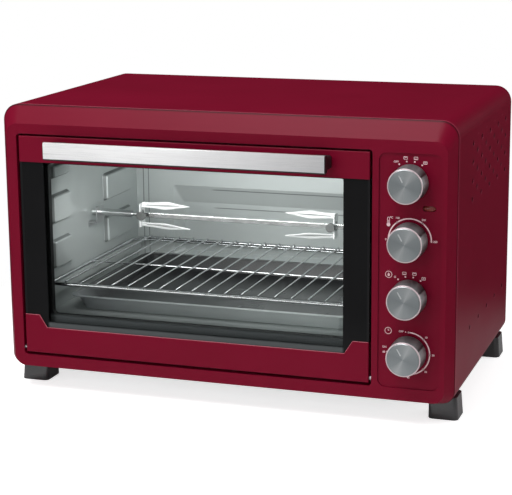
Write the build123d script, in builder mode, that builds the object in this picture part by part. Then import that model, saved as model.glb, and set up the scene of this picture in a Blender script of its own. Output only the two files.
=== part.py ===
"""Electric countertop oven with a drop-down glass door, four dials, a wire rack and a spit.

Millimetres, +Z up, front towards -Y. The origin lies on the table, under the middle of the
oven's box: X runs along the front, Y from the front to the back.
"""
from build123d import *
import os
from math import cos, radians, sin

os.makedirs("parts", exist_ok=True)

# Overall sizes
overall_width = 550.0
overall_depth = 364.0
overall_height = 347.0
foot_height = 26.0
reach = 26.0              # how far the handle and the dials stand before the front panel

# Sheet thicknesses and corners of the shell
casing_sheet = 1.0
front_sheet = 1.4
cavity_sheet = 1.0
back_sheet = 1.0
top_radius = 20.0
bottom_radius = 14.0
casing_hem = 2.2
hem_depth = 3.0
seam = 1.2                # dark joint between the front panel and the casing
fit_gap = 0.3             # loose fit between fixed pieces
run_gap = 0.05            # radial running clearance of pins and spindles

# Front panel
front_depth = 14.0
top_slope = 21.3
side_slope = 9.3
bottom_slope = 3.0
front_radius = 14.0
plug_depth = 9.0
sill = 17.2               # below the door opening
head = 33.1               # above it
left_jamb = 22.1          # beside it
dial_side = 93.4          # from the door opening to the right side
opening_radius = 4.0

# Door
door_gap_side = 3.0
door_gap_top = 2.5
door_gap_bottom = 3.4
door_depth = 20.0
door_rear_gap = 2.0
rail_sheet = 1.4
glass_thickness = 4.0
top_rail_height = 31.0
bottom_rail_height = 47.0
rail_notch = 15.2
notch_shoulder = 18.7
notch_run = 9.7
window_side = 31.0
window_top = 34.0
window_bottom = 46.4
window_radius = 5.0
web_setback = 12.5        # how far the black inner frame lies behind the door's face
door_sheet = 1.2

# Door hinge
hinge_height = 4.4        # above the door's lower edge
hinge_setback = 5.0       # behind the door's face
pin_diameter = 5.0
bush_diameter = 6.8
bush_length = 4.0
arm_radius = 55.0
arm_width = 7.0
arm_thickness = 2.0
arm_inset = 7.0

# Handle
handle_length = 341.0
handle_height = 20.0
handle_drop = 3.4         # below the door's upper edge
handle_thickness = 10.0
handle_post = 20.0
handle_plate_sheet = 1.2
handle_lip = 1.4

# Dials
dial_diameter = 41.3
dial_setback = 1.0        # gap between a dial and the control panel
dial_flutes = 30
flute_radius = 1.5
cap_diameter = 37.0
cap_thickness = 1.6
cap_proud = 0.6
spindle_diameter = 6.0
dial_inset = 50.8         # dial centres from the right side
dial_first = 58.9         # lowest dial centre above the body's lower edge
dial_top_margin = 67.7    # highest dial centre below the body's upper edge
pointer_angle = 30.0      # anticlockwise from straight up
panel_edge = 7.3          # control panel from the door opening
panel_margin = 15.4       # and from the right side
panel_bottom = 17.7
panel_top = 35.4
panel_radius = 9.0
panel_overlap = 3.0
lens_length = 17.0
lens_height = 8.0
lens_aside = 21.5
lens_below = 28.3

# Oven cavity
cavity_side = 39.0        # inner side wall from the casing's side
cavity_floor_height = 62.0
cavity_ceiling_drop = 53.0
cavity_back_gap = 20.0    # inner back wall before the casing's rear edge
under_floor = 32.0        # heater space below the floor
emboss = 6.0
rail_emboss = 9.0
bulge_depth = 11.0
shield_gap = 16.0

# Rack, tray and spit
rack_height = 38.0        # frame wire above the cavity floor
rack_wire = 4.8
rack_rod = 2.2
rack_pitch = 21.0
rack_side_gap = 5.6
rack_front_gap = 8.0
rack_back_gap = 13.0
rack_corner = 22.0
rack_front_corner = 8.0
tray_height = 18.0
tray_sheet = 0.8
tray_side_gap = 19.0
tray_front_gap = 28.0
tray_back_gap = 16.0
tray_corner = 16.0
tray_flare = 8.0
tray_rim = 5.0
spit_height = 101.0       # spit axis above the cavity floor
spit_rear = 153.0         # spit axis before the cavity's back wall
spit_square = 6.4
spit_journal = 9.0
fork_inset = 80.0
fork_span = 34.0
fork_reach = 57.0

# Heaters
heater_diameter = 6.6
upper_heater_drop = 15.0
lower_heater_drop = 17.0
heater_from_end = 72.0
heater_end = 12.0
insulator_diameter = 14.0

# Feet
foot_width = 35.0
foot_length = 37.0
front_foot_setback = 33.0
rear_foot_gap = 8.0
foot_screw_inset = 22.0

# Back panel
back_setback = 3.0        # its face from the casing's rear edge
back_flange = 10.0

# Fixings
screw_diameter = 4.0
screw_head = 7.6
screw_head_height = 2.0

# Places that follow from these sizes
right_x = overall_width / 2
left_x = -right_x
back_y = overall_depth / 2
front_y = -back_y + reach
body_z = foot_height
top_z = overall_height
body_height = top_z - body_z
edge_y = front_y + front_depth
casing_front_y = edge_y + seam

opening_left = left_x + left_jamb
opening_right = right_x - dial_side
opening_bottom = body_z + sill
opening_top = top_z - head
jamb_depth = door_depth + door_rear_gap
frame_y = front_y + jamb_depth

door_left = opening_left + door_gap_side
door_right = opening_right - door_gap_side
door_bottom = opening_bottom + door_gap_bottom
door_top = opening_top - door_gap_top
door_width = door_right - door_left
door_middle = (door_left + door_right) / 2
door_back_y = front_y + door_depth
hinge_y = front_y + hinge_setback
hinge_z = door_bottom + hinge_height

cavity_left = left_x + cavity_side
cavity_right = 2 * door_middle - cavity_left
cavity_bottom = body_z + cavity_floor_height
cavity_top = top_z - cavity_ceiling_drop
cavity_front_y = frame_y + cavity_sheet
cavity_back_y = back_y - cavity_back_gap
under_z = cavity_bottom - under_floor
shield_x = cavity_right + shield_gap
panel_back_y = front_y + front_sheet

dial_x = right_x - dial_inset
dial_low_z = body_z + dial_first
dial_high_z = top_z - dial_top_margin
dial_pitch = (dial_high_z - dial_low_z) / 3
dial_heights = [dial_high_z - dial_pitch * step for step in range(4)]
lens_x = dial_x + lens_aside
lens_z = dial_high_z - lens_below

foot_x = right_x - foot_width / 2
screw_x = right_x - foot_screw_inset
front_foot_y = front_y + front_foot_setback + foot_length / 2
rear_foot_y = back_y - rear_foot_gap - foot_length / 2
foot_screw_places = [(x, y) for x in (-screw_x, screw_x) for y in (front_foot_y, rear_foot_y)]

spit_y = cavity_back_y - spit_rear
spit_z = cavity_bottom + spit_height
rack_z = cavity_bottom + rack_height


def facing(y):
    """A plane across the oven at a given depth, drawn in X and Z and facing the user."""
    return Plane(origin=(0, y, 0), x_dir=(1, 0, 0), z_dir=(0, -1, 0))


def sideways(x):
    """A plane along the oven's side at a given X, drawn in Y and Z and facing right."""
    return Plane(origin=(x, 0, 0), x_dir=(0, 1, 0), z_dir=(1, 0, 0))


def framed(left, right, low, high):
    """The centre, width and height of a rectangle that is given by its four sides."""
    return ((left + right) / 2, (low + high) / 2), right - left, high - low


def keep(builder, name):
    """Label a finished piece and write it out."""
    builder.part.label = name
    export_step(builder.part, f"parts/{name}.step")


def body_outline(inset):
    """The rounded outline of the oven's body, in X and Z, drawn in by an inset."""
    with BuildSketch() as outline:
        with Locations((0, (body_z + top_z) / 2)):
            Rectangle(overall_width - 2 * inset, body_height - 2 * inset)
        fillet(outline.vertices().group_by(Axis.Y)[-1], top_radius - inset)
        fillet(outline.vertices().group_by(Axis.Y)[0], bottom_radius - inset)
    return outline.sketch_local


def rounded_panel(left, right, low, high, radius):
    """A rounded rectangle in X and Z, given by its four sides."""
    centre, width, height = framed(left, right, low, high)
    with BuildSketch() as panel:
        with Locations(centre):
            RectangleRounded(width, height, radius)
    return panel.sketch_local


def front_face(inset):
    """The flat front of the front panel, inside its sloping edges, drawn in by an inset."""
    low = body_z + bottom_slope + inset
    high = top_z - top_slope - inset
    left = left_x + side_slope + inset
    return rounded_panel(left, -left, low, high, front_radius - inset)


# Outer casing: one wrapped steel sheet with a folded front hem and vent holes on the right
flange_width = 34.0
vent_diameter = 5.0
vent_pitch_y = 51.8
vent_pitch_z = 21.7
vent_columns = 5
vent_rows = 4
vent_first_y = 94.0
vent_last_y = 37.0
vent_top_drop = 36.0
vent_low_z = 68.5
vent_pitch = (overall_depth - reach - vent_first_y - vent_last_y) / (vent_columns - 1)
with BuildPart() as outer_casing:
    with BuildSketch(facing(casing_front_y)):
        add(body_outline(0))
    extrude(amount=casing_front_y - back_y)
    with BuildSketch(facing(casing_front_y)):
        add(body_outline(casing_hem))
    extrude(amount=-hem_depth, mode=Mode.SUBTRACT)
    with BuildSketch(facing(casing_front_y + hem_depth)):
        add(body_outline(casing_sheet))
    extrude(amount=casing_front_y + hem_depth - back_y, mode=Mode.SUBTRACT)
    chamfer(outer_casing.faces().sort_by(Axis.Y)[0].outer_wire().edges(), casing_hem / 3)
    with BuildSketch(Plane.XY.offset(body_z)):
        with Locations((0, (casing_front_y + back_y) / 2)):
            Rectangle(overall_width - 2 * (bottom_radius + flange_width), back_y - casing_front_y)
    extrude(amount=casing_hem, mode=Mode.SUBTRACT)
    with BuildSketch(sideways(right_x)):
        for column in range(vent_columns):
            hole_y = front_y + vent_first_y + column * vent_pitch
            for row in range(vent_rows):
                with Locations((hole_y, top_z - vent_top_drop - row * vent_pitch_z)):
                    Circle(vent_diameter / 2)
            with Locations((hole_y, body_z + vent_low_z)):
                Circle(vent_diameter / 2)
    extrude(amount=-casing_hem, mode=Mode.SUBTRACT)
    with BuildSketch(Plane.XY.offset(body_z)):
        with Locations(*foot_screw_places):
            Circle(screw_diameter / 2 + run_gap)
    extrude(amount=casing_sheet, mode=Mode.SUBTRACT)
keep(outer_casing, "outer_casing")

# Base plate: lies on the casing's bottom flanges, with louvre slots and a rear flange
base_slots = 9
base_slot_pitch = 16.0
base_front_y = edge_y + plug_depth + 2 * fit_gap
base_back_y = back_y - back_setback - back_flange - fit_gap
base_flange = 14.0
base_z = body_z + casing_sheet
with BuildPart() as base_plate:
    with BuildSketch(Plane.XY.offset(base_z)):
        with Locations((0, (base_front_y + base_back_y) / 2)):
            Rectangle(overall_width - 2 * (bottom_radius + fit_gap), base_back_y - base_front_y)
        with Locations(*foot_screw_places):
            Circle(screw_diameter / 2 + run_gap, mode=Mode.SUBTRACT)
        with Locations((door_middle, 0)):
            with GridLocations(0, base_slot_pitch, 1, base_slots):
                SlotOverall(overall_width / 4, base_slot_pitch / 4, mode=Mode.SUBTRACT)
    extrude(amount=casing_sheet)
    with BuildSketch(Plane.XY.offset(base_z)):
        with Locations((0, base_back_y - casing_sheet / 2)):
            Rectangle(overall_width - 2 * (bottom_radius + fit_gap), casing_sheet)
    extrude(amount=base_flange)
keep(base_plate, "base_plate")

# Feet: tapered plastic mouldings, hollow below, with a boss for the screw
foot_radius = 6.0
foot_taper = 1.0
foot_wall = 2.6
foot_top = 5.0
foot_boss = 11.0


def foot_pair(foot_y):
    """The left and the right foot at one depth, each hollow below with a boss for its screw."""
    with BuildPart() as pair:
        for side in (-1, 1):
            with BuildSketch(Plane.XY):
                with Locations((side * foot_x, foot_y)):
                    RectangleRounded(foot_width, foot_length, foot_radius)
            with BuildSketch(Plane.XY.offset(foot_height)):
                with Locations((side * (foot_x - foot_taper), foot_y)):
                    RectangleRounded(foot_width - 2 * foot_taper, foot_length - 2 * foot_taper,
                                     foot_radius)
            loft()
        with BuildSketch(Plane.XY):
            with Locations((-foot_x, foot_y), (foot_x, foot_y)):
                RectangleRounded(foot_width - 2 * foot_wall, foot_length - 2 * foot_wall,
                                 foot_radius - foot_wall)
        extrude(amount=foot_height - foot_top, taper=foot_taper, mode=Mode.SUBTRACT)
        with BuildSketch(Plane.XY.offset(foot_height - 2 * foot_top)):
            with Locations((-screw_x, foot_y), (screw_x, foot_y)):
                Circle(foot_boss / 2)
        extrude(amount=2 * foot_top)
        with BuildSketch(Plane.XY):
            with Locations((-screw_x, foot_y), (screw_x, foot_y)):
                Circle(screw_diameter / 2 + run_gap)
        extrude(amount=foot_height, mode=Mode.SUBTRACT)
    return pair


keep(foot_pair(front_foot_y), "front_feet")
keep(foot_pair(rear_foot_y), "rear_feet")

# Front panel: pressed steel with sloping edges, a jamb round the door and a plug into the casing
with BuildPart() as front_panel:
    with BuildSketch(facing(front_y)):
        add(front_face(0))
    with BuildSketch(facing(edge_y)):
        add(body_outline(0))
    loft(ruled=True)
    with BuildSketch(facing(panel_back_y)):
        add(front_face(front_sheet))
    with BuildSketch(facing(edge_y)):
        add(body_outline(casing_hem + fit_gap + front_sheet))
    loft(ruled=True, mode=Mode.SUBTRACT)
    with BuildSketch(facing(edge_y)):
        add(body_outline(casing_hem + fit_gap))
    extrude(amount=-plug_depth)
    with BuildSketch(facing(edge_y)):
        add(body_outline(casing_hem + fit_gap + front_sheet))
    extrude(amount=-plug_depth, mode=Mode.SUBTRACT)
    with BuildSketch(facing(front_y)):
        add(rounded_panel(opening_left - front_sheet, opening_right + front_sheet, opening_bottom - front_sheet,
                         opening_top + front_sheet, opening_radius + front_sheet))
    extrude(amount=-jamb_depth)
    with BuildSketch(facing(front_y)):
        add(rounded_panel(opening_left, opening_right, opening_bottom, opening_top, opening_radius))
    extrude(amount=-jamb_depth, mode=Mode.SUBTRACT)
    with BuildSketch(facing(front_y)):
        add(rounded_panel(opening_right + panel_edge, right_x - panel_margin, body_z + panel_bottom,
                         top_z - panel_top, panel_radius))
    extrude(amount=-front_sheet, mode=Mode.SUBTRACT)
    with BuildSketch(sideways(opening_left - bush_length)):
        with Locations((hinge_y, hinge_z)):
            Circle(bush_diameter / 2 + run_gap)
    extrude(amount=opening_right - opening_left + 2 * bush_length, mode=Mode.SUBTRACT)
keep(front_panel, "front_panel")


# Hinge bushes: steel rings in the jambs, flush with the door opening
with BuildPart() as hinge_bushes:
    for x, side in ((opening_left, -1), (opening_right, 1)):
        with BuildSketch(sideways(x)):
            with Locations((hinge_y, hinge_z)):
                Circle(bush_diameter / 2)
                Circle(pin_diameter / 2 + run_gap, mode=Mode.SUBTRACT)
        extrude(amount=side * bush_length)
keep(hinge_bushes, "hinge_bushes")

# Control panel: a plate behind the front panel's recess, with holes for the dials and the lamp
panel_sheet = 1.5
panel_left = opening_right + panel_edge
panel_right = right_x - panel_margin
panel_low = body_z + panel_bottom
panel_high = top_z - panel_top
spindle_hole = 9.0
with BuildPart() as control_panel:
    with BuildSketch(facing(panel_back_y)):
        add(rounded_panel(panel_left - panel_overlap, panel_right + panel_overlap, panel_low - panel_overlap,
                         panel_high + panel_overlap, panel_radius))
    extrude(amount=-panel_sheet)
    with BuildSketch(facing(panel_back_y)):
        with Locations(*[(dial_x, z) for z in dial_heights]):
            Circle(spindle_hole / 2)
        with Locations((lens_x, lens_z)):
            SlotOverall(lens_length - 2, lens_height - 2)
    extrude(amount=-panel_sheet, mode=Mode.SUBTRACT)
keep(control_panel, "control_panel")

# Pilot lamp: an amber lens in the control panel and its holder behind
lens_proud = 0.9
holder_depth = 16.0
with BuildPart() as pilot_lens:
    with BuildSketch(facing(panel_back_y)):
        with Locations((lens_x, lens_z)):
            SlotOverall(lens_length, lens_height)
    extrude(amount=lens_proud)
    chamfer(pilot_lens.faces().sort_by(Axis.Y)[0].edges(), lens_proud / 2)
    with BuildSketch(facing(panel_back_y)):
        with Locations((lens_x, lens_z)):
            SlotOverall(lens_length - 2 - fit_gap, lens_height - 2 - fit_gap)
    extrude(amount=-panel_sheet - 2)
keep(pilot_lens, "pilot_lens")

with BuildPart() as lamp_holder:
    with BuildSketch(facing(panel_back_y + panel_sheet)):
        with Locations((lens_x, lens_z)):
            SlotOverall(lens_length + 1, lens_height + 3)
            SlotOverall(lens_length - 2, lens_height - 2, mode=Mode.SUBTRACT)
    extrude(amount=-2 * panel_sheet)
    with BuildSketch(facing(panel_back_y + 3 * panel_sheet)):
        with Locations((lens_x, lens_z)):
            SlotOverall(lens_length + 1, lens_height + 3)
    extrude(amount=-holder_depth)
keep(lamp_holder, "lamp_holder")

# Dials: fluted bodies, hollow behind, each with a spun cap that carries the pointer mark
dial_base_y = panel_back_y - dial_setback
dial_front_y = front_y - reach
dial_depth = dial_base_y - dial_front_y
dial_wall = 2.4
dial_stem = 12.0
dial_face_wall = 4.0
pointer_length = 9.0
pointer_width = 1.6
pointer_depth = 0.4
spindle_engagement = 14.0
switch_y = panel_back_y + panel_sheet
spindle_depth = 13.0


def dial_sketch(z, radius, bore=0.0):
    """A circle or a ring about one dial's axis."""
    with BuildSketch() as ring:
        with Locations((dial_x, z)):
            Circle(radius)
            if bore:
                Circle(bore, mode=Mode.SUBTRACT)
    return ring.sketch_local


def dial_body(z):
    """A fluted dial, hollow behind, with a stem that fits the spindle."""
    with BuildPart() as dial:
        with BuildSketch(facing(dial_base_y)):
            with Locations((dial_x, z)):
                Circle(dial_diameter / 2)
                with PolarLocations(dial_diameter / 2 + flute_radius / 3, dial_flutes):
                    Circle(flute_radius, mode=Mode.SUBTRACT)
        extrude(amount=dial_depth - cap_proud - cap_thickness)
        with BuildSketch(facing(dial_front_y + cap_proud + cap_thickness)):
            add(dial_sketch(z, dial_diameter / 2 - 1))
        extrude(amount=cap_thickness)
        with BuildSketch(facing(dial_front_y + cap_proud)):
            add(dial_sketch(z, cap_diameter / 2 + run_gap))
        extrude(amount=-cap_thickness, mode=Mode.SUBTRACT)
        with BuildSketch(facing(dial_base_y)):
            add(dial_sketch(z, dial_diameter / 2 - dial_wall, dial_stem / 2))
        extrude(amount=dial_depth - dial_face_wall - cap_thickness, mode=Mode.SUBTRACT)
        with BuildSketch(facing(dial_base_y)):
            add(dial_sketch(z, spindle_diameter / 2 + run_gap))
        extrude(amount=spindle_engagement, mode=Mode.SUBTRACT)
    return dial


def dial_cap(z):
    """A spun aluminium disc with a bright chamfer and an engraved pointer."""
    with BuildPart() as cap:
        with BuildSketch(facing(dial_front_y)):
            add(dial_sketch(z, cap_diameter / 2))
        extrude(amount=-cap_thickness)
        chamfer(cap.faces().sort_by(Axis.Y)[0].edges(), cap_proud * 0.9)
        middle = cap_diameter / 2 - pointer_length
        with BuildSketch(facing(dial_front_y)):
            with Locations((dial_x - middle * sin(radians(pointer_angle)),
                            z + middle * cos(radians(pointer_angle)))):
                SlotOverall(pointer_length, pointer_width, rotation=90 + pointer_angle)
        extrude(amount=-pointer_depth, mode=Mode.SUBTRACT)
    return cap


def dial_spindle(z):
    """A steel spindle from the dial's stem into the switch."""
    with BuildPart() as spindle:
        with BuildSketch(facing(dial_base_y - spindle_engagement + fit_gap)):
            add(dial_sketch(z, spindle_diameter / 2))
        extrude(amount=-(spindle_engagement - fit_gap + switch_y + spindle_depth - dial_base_y))
    return spindle


def control_unit(heights, width, height, depth, round_body=False):
    """Alike switches behind the panel, each with a neck, a bore for its spindle and tabs."""
    places = [(dial_x, z) for z in heights]
    with BuildPart() as unit:
        with BuildSketch(facing(switch_y)):
            with Locations(*places):
                if round_body:
                    Circle(width / 2)
                else:
                    RectangleRounded(width, height, 3)
        extrude(amount=-depth)
        with BuildSketch(facing(switch_y + depth)):
            with Locations(*places):
                with GridLocations(width / 3, height / 3, 2, 2):
                    Rectangle(1, 6)
        extrude(amount=-8)
        with BuildSketch(facing(switch_y)):
            with Locations(*places):
                Circle(spindle_hole / 2 - run_gap)
        extrude(amount=panel_sheet)
        with BuildSketch(facing(switch_y - panel_sheet)):
            with Locations(*places):
                Circle(spindle_diameter / 2 + run_gap)
        extrude(amount=-panel_sheet - spindle_depth - fit_gap, mode=Mode.SUBTRACT)
    return unit


dial_names = ["heat_dial", "thermostat_dial", "function_dial", "timer_dial"]
for name, z in zip(dial_names, dial_heights):
    keep(dial_body(z), name)
    keep(dial_cap(z), name + "_cap")
    keep(dial_spindle(z), name + "_spindle")
keep(control_unit([dial_heights[0], dial_heights[2]], 34, 30, 22), "rotary_switches")
keep(control_unit([dial_heights[1]], 30, 38, 26), "thermostat")
keep(control_unit([dial_heights[3]], 46, 46, 28, round_body=True), "timer")

# Door rails: folded red channels over the glass, above and below
rail_edge = 1.0
handle_middle = door_middle
handle_z = door_top - handle_drop - handle_height / 2
handle_screw_x = handle_length / 2 - handle_post / 2
handle_screw_places = [(handle_middle - handle_screw_x, handle_z),
                       (handle_middle + handle_screw_x, handle_z)]
with BuildPart() as door_top_rail:
    centre, width, height = framed(door_left, door_right, door_top - top_rail_height, door_top)
    with BuildSketch(facing(front_y)):
        with Locations(centre):
            Rectangle(width, height)
    extrude(amount=-door_depth)
    with BuildSketch(facing(front_y + rail_sheet)):
        with Locations((centre[0], centre[1] - rail_sheet)):
            Rectangle(width - 2 * rail_sheet, height)
    extrude(amount=-door_depth, mode=Mode.SUBTRACT)
    front_edges = door_top_rail.faces().sort_by(Axis.Y)[0].edges()
    fillet(front_edges.filter_by(Axis.Z) + front_edges.sort_by(Axis.Z)[-1:], rail_edge)
    with BuildSketch(facing(front_y)):
        with Locations(*handle_screw_places):
            Circle(screw_diameter / 2 + run_gap)
    extrude(amount=-rail_sheet, mode=Mode.SUBTRACT)
keep(door_top_rail, "door_top_rail")

rail_step = door_bottom + bottom_rail_height
with BuildPart() as door_bottom_rail:
    with BuildSketch(facing(front_y)):
        with BuildLine():
            Polyline(
                (door_left, door_bottom),
                (door_right, door_bottom),
                (door_right, rail_step),
                (door_right - notch_shoulder, rail_step),
                (door_right - notch_shoulder - notch_run, rail_step - rail_notch),
                (door_left + notch_shoulder + notch_run, rail_step - rail_notch),
                (door_left + notch_shoulder, rail_step),
                (door_left, rail_step),
                close=True,
            )
        make_face()
    extrude(amount=-door_depth)
    with BuildSketch(facing(front_y + rail_sheet)):
        with Locations((door_middle, (door_bottom + rail_step) / 2 + rail_sheet)):
            Rectangle(door_width - 2 * rail_sheet, bottom_rail_height)
    extrude(amount=-door_depth, mode=Mode.SUBTRACT)
    front_edges = door_bottom_rail.faces().sort_by(Axis.Y)[0].edges()
    fillet(front_edges.sort_by(Axis.Z)[:1] + front_edges.filter_by(Axis.Z), rail_edge)
    with BuildSketch(sideways(door_left)):
        with Locations((hinge_y, hinge_z)):
            Circle(pin_diameter / 2 + run_gap)
    extrude(amount=door_width, mode=Mode.SUBTRACT)
keep(door_bottom_rail, "door_bottom_rail")

# Door glass: one toughened pane behind the rails
glass_inset = 0.8
glass_lap = 6.0
glass_y = front_y + rail_sheet + 0.2
glass_left = door_left + rail_sheet + glass_inset
glass_bottom = rail_step - rail_notch - glass_lap
glass_top = door_top - top_rail_height + glass_lap
with BuildPart() as door_glass:
    centre, width, height = framed(glass_left, 2 * door_middle - glass_left, glass_bottom, glass_top)
    with BuildSketch(facing(glass_y)):
        with Locations(centre):
            Rectangle(width, height)
    extrude(amount=-glass_thickness)
    chamfer(door_glass.edges().filter_by(Axis.Z), glass_inset / 2)
keep(door_glass, "door_glass")

# Inner frame and liner: black pressings that hold the glass and close the door's back
frame_front_y = glass_y + glass_thickness
web_y = front_y + web_setback
frame_foot = 17.0
window_left = door_left + window_side
window_low = door_bottom + window_bottom
window_high = door_top - window_top
frame_left = door_left + rail_sheet + fit_gap
frame_low = door_bottom + frame_foot
frame_high = door_top - rail_sheet - fit_gap
liner_y = door_back_y - door_sheet


def door_panel(left, low, high, radius):
    """A rounded rectangle across the door, even about the door's middle."""
    return rounded_panel(left, 2 * door_middle - left, low, high, radius)


with BuildPart() as door_inner_frame:
    with BuildSketch(facing(frame_front_y)):
        add(door_panel(frame_left, frame_low, frame_high, 2))
    extrude(amount=frame_front_y - web_y - door_sheet)
    with BuildSketch(facing(frame_front_y)):
        add(door_panel(frame_left + door_sheet, frame_low + door_sheet, frame_high - door_sheet, 1))
    extrude(amount=frame_front_y - web_y, mode=Mode.SUBTRACT)
    with BuildSketch(facing(web_y)):
        add(door_panel(window_left, window_low, window_high, window_radius))
    extrude(amount=-door_sheet, mode=Mode.SUBTRACT)
keep(door_inner_frame, "door_inner_frame")

arm_x = door_left + arm_inset
arm_slot = 1.0
arm_end = 111.0


def arm_centres():
    """The left edge of the left and of the right door arm."""
    return [arm_x, 2 * door_middle - arm_x - arm_thickness]


arm_cross_z = hinge_z + (arm_radius ** 2 - (door_depth - hinge_setback) ** 2) ** 0.5
with BuildPart() as door_liner:
    with BuildSketch(facing(liner_y)):
        add(door_panel(frame_left, door_bottom + rail_sheet + fit_gap, frame_high, 2))
    extrude(amount=-door_sheet)
    with BuildSketch(facing(web_y + door_sheet)):
        add(door_panel(window_left - door_sheet, window_low - door_sheet,
                      window_high + door_sheet, window_radius + door_sheet))
    extrude(amount=web_y + door_sheet - liner_y)
    with BuildSketch(facing(web_y + door_sheet)):
        add(door_panel(window_left, window_low, window_high, window_radius))
    extrude(amount=web_y + door_sheet - door_back_y, mode=Mode.SUBTRACT)
    with BuildSketch(facing(liner_y)):
        for x in arm_centres():
            with Locations((x + arm_thickness / 2, arm_cross_z)):
                Rectangle(arm_thickness + 2 * arm_slot, arm_width + 4 * arm_slot)
    extrude(amount=-door_sheet, mode=Mode.SUBTRACT)
keep(door_liner, "door_liner")

# Hinge pins: each is turned on a steel block that sits in the bottom rail's corner
block_length = 15.0
block_height = 14.0
block_depth = 10.0
block_y = front_y + rail_sheet + run_gap + block_depth / 2
block_z = door_bottom + rail_sheet + run_gap + block_height / 2
with BuildPart() as hinge_pins:
    for edge, side in ((door_left, -1), (door_right, 1)):
        inner_x = edge - side * (rail_sheet + run_gap)
        with BuildSketch(sideways(inner_x)):
            with Locations((block_y, block_z)):
                Rectangle(block_depth, block_height)
        extrude(amount=-side * block_length)
        with BuildSketch(sideways(inner_x)):
            with Locations((hinge_y, hinge_z)):
                Circle(pin_diameter / 2)
        extrude(amount=side * (rail_sheet + door_gap_side + bush_length))
keep(hinge_pins, "hinge_pins")


def arm_point(radius, angle):
    """A point in Y and Z on a circle about the hinge, its angle measured back from straight up."""
    return hinge_y + radius * sin(radians(angle)), hinge_z + radius * cos(radians(angle))


# Door arms: curved steel strips about the hinge line, each with a foot inside the door
arm_outer = arm_radius + arm_width / 2
arm_inner = arm_radius - arm_width / 2
arm_start = 13.0
arm_middle = (arm_start + arm_end) / 2
arm_foot_y = (web_y + door_sheet + liner_y) / 2
arm_foot_depth = liner_y - web_y - door_sheet - 2 * fit_gap
arm_foot_z = arm_point(arm_radius, arm_start)[1] + arm_width
with BuildPart() as door_arms:
    for x in arm_centres():
        with BuildSketch(sideways(x)):
            with BuildLine():
                ThreePointArc(arm_point(arm_outer, arm_start), arm_point(arm_outer, arm_middle),
                              arm_point(arm_outer, arm_end))
                Line(arm_point(arm_outer, arm_end), arm_point(arm_inner, arm_end))
                ThreePointArc(arm_point(arm_inner, arm_end), arm_point(arm_inner, arm_middle),
                              arm_point(arm_inner, arm_start))
                Line(arm_point(arm_inner, arm_start), arm_point(arm_outer, arm_start))
            make_face()
            with Locations((arm_foot_y, arm_foot_z)):
                Rectangle(arm_foot_depth, 3.4 * arm_width)
        extrude(amount=arm_thickness)
keep(door_arms, "door_arms")

# Handle: a black moulded bar on two posts with a brushed steel plate let into its face
bar_front_y = front_y - reach + 0.6
bar_edge = 2.5
with BuildPart() as handle_bar:
    with BuildSketch(facing(bar_front_y)):
        with Locations((handle_middle, handle_z)):
            RectangleRounded(handle_length, handle_height, 1.5)
    extrude(amount=-handle_thickness)
    fillet(handle_bar.faces().sort_by(Axis.Y)[-1].edges(), bar_edge)
    with BuildSketch(facing(bar_front_y + handle_thickness - bar_edge)):
        with Locations(*handle_screw_places):
            RectangleRounded(handle_post, handle_height - 2 * bar_edge, 3)
    extrude(amount=-(reach - 0.6 - handle_thickness + bar_edge))
    with BuildSketch(facing(bar_front_y)):
        with Locations((handle_middle, handle_z)):
            Rectangle(handle_length - 2 * handle_lip, handle_height - 2 * handle_lip)
    extrude(amount=-handle_plate_sheet / 2, mode=Mode.SUBTRACT)
    with BuildSketch(facing(front_y)):
        with Locations(*handle_screw_places):
            Circle(screw_diameter / 2 + run_gap)
    extrude(amount=reach / 2, mode=Mode.SUBTRACT)
keep(handle_bar, "handle_bar")

with BuildPart() as handle_plate:
    with BuildSketch(facing(front_y - reach)):
        with Locations((handle_middle, handle_z)):
            Rectangle(handle_length - 2 * handle_lip - fit_gap, handle_height - 2 * handle_lip - fit_gap)
    extrude(amount=-handle_plate_sheet)
    chamfer(handle_plate.faces().sort_by(Axis.Y)[0].edges(), 0.3)
keep(handle_plate, "handle_plate")

with BuildPart() as handle_screws:
    with BuildSketch(facing(front_y + rail_sheet)):
        with Locations(*handle_screw_places):
            Circle(screw_diameter / 2)
    extrude(amount=rail_sheet + reach / 3)
    with BuildSketch(facing(front_y + rail_sheet)):
        with Locations(*handle_screw_places):
            Circle(screw_head / 2)
    extrude(amount=-screw_head_height, taper=15)
keep(handle_screws, "handle_screws")

# Cavity front frame: the plate that joins the casing, the cavity and the arms' slots
frame_reach = right_x - shield_x
frame_edge = casing_hem + fit_gap + front_sheet + fit_gap
slot_near = arm_radius - arm_width / 2
slot_far = arm_radius + arm_width / 2
arm_slot_z = hinge_z + (arm_radius ** 2 - (frame_y - hinge_y) ** 2) ** 0.5
with BuildPart() as cavity_front_frame:
    centre, width, height = framed(left_x + frame_edge, shield_x + cavity_sheet,
                                   body_z + frame_edge, top_z - frame_edge)
    with BuildSketch(facing(frame_y)):
        with Locations(centre):
            RectangleRounded(width, height, top_radius)
        for x in arm_centres():
            with Locations((x + arm_thickness / 2, arm_slot_z)):
                Rectangle(arm_thickness + 2 * arm_slot, 2 * arm_width, mode=Mode.SUBTRACT)
        add(rounded_panel(cavity_left, cavity_right, cavity_bottom, cavity_top, 1), mode=Mode.SUBTRACT)
    extrude(amount=-cavity_sheet)
keep(cavity_front_frame, "cavity_front_frame")

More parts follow.
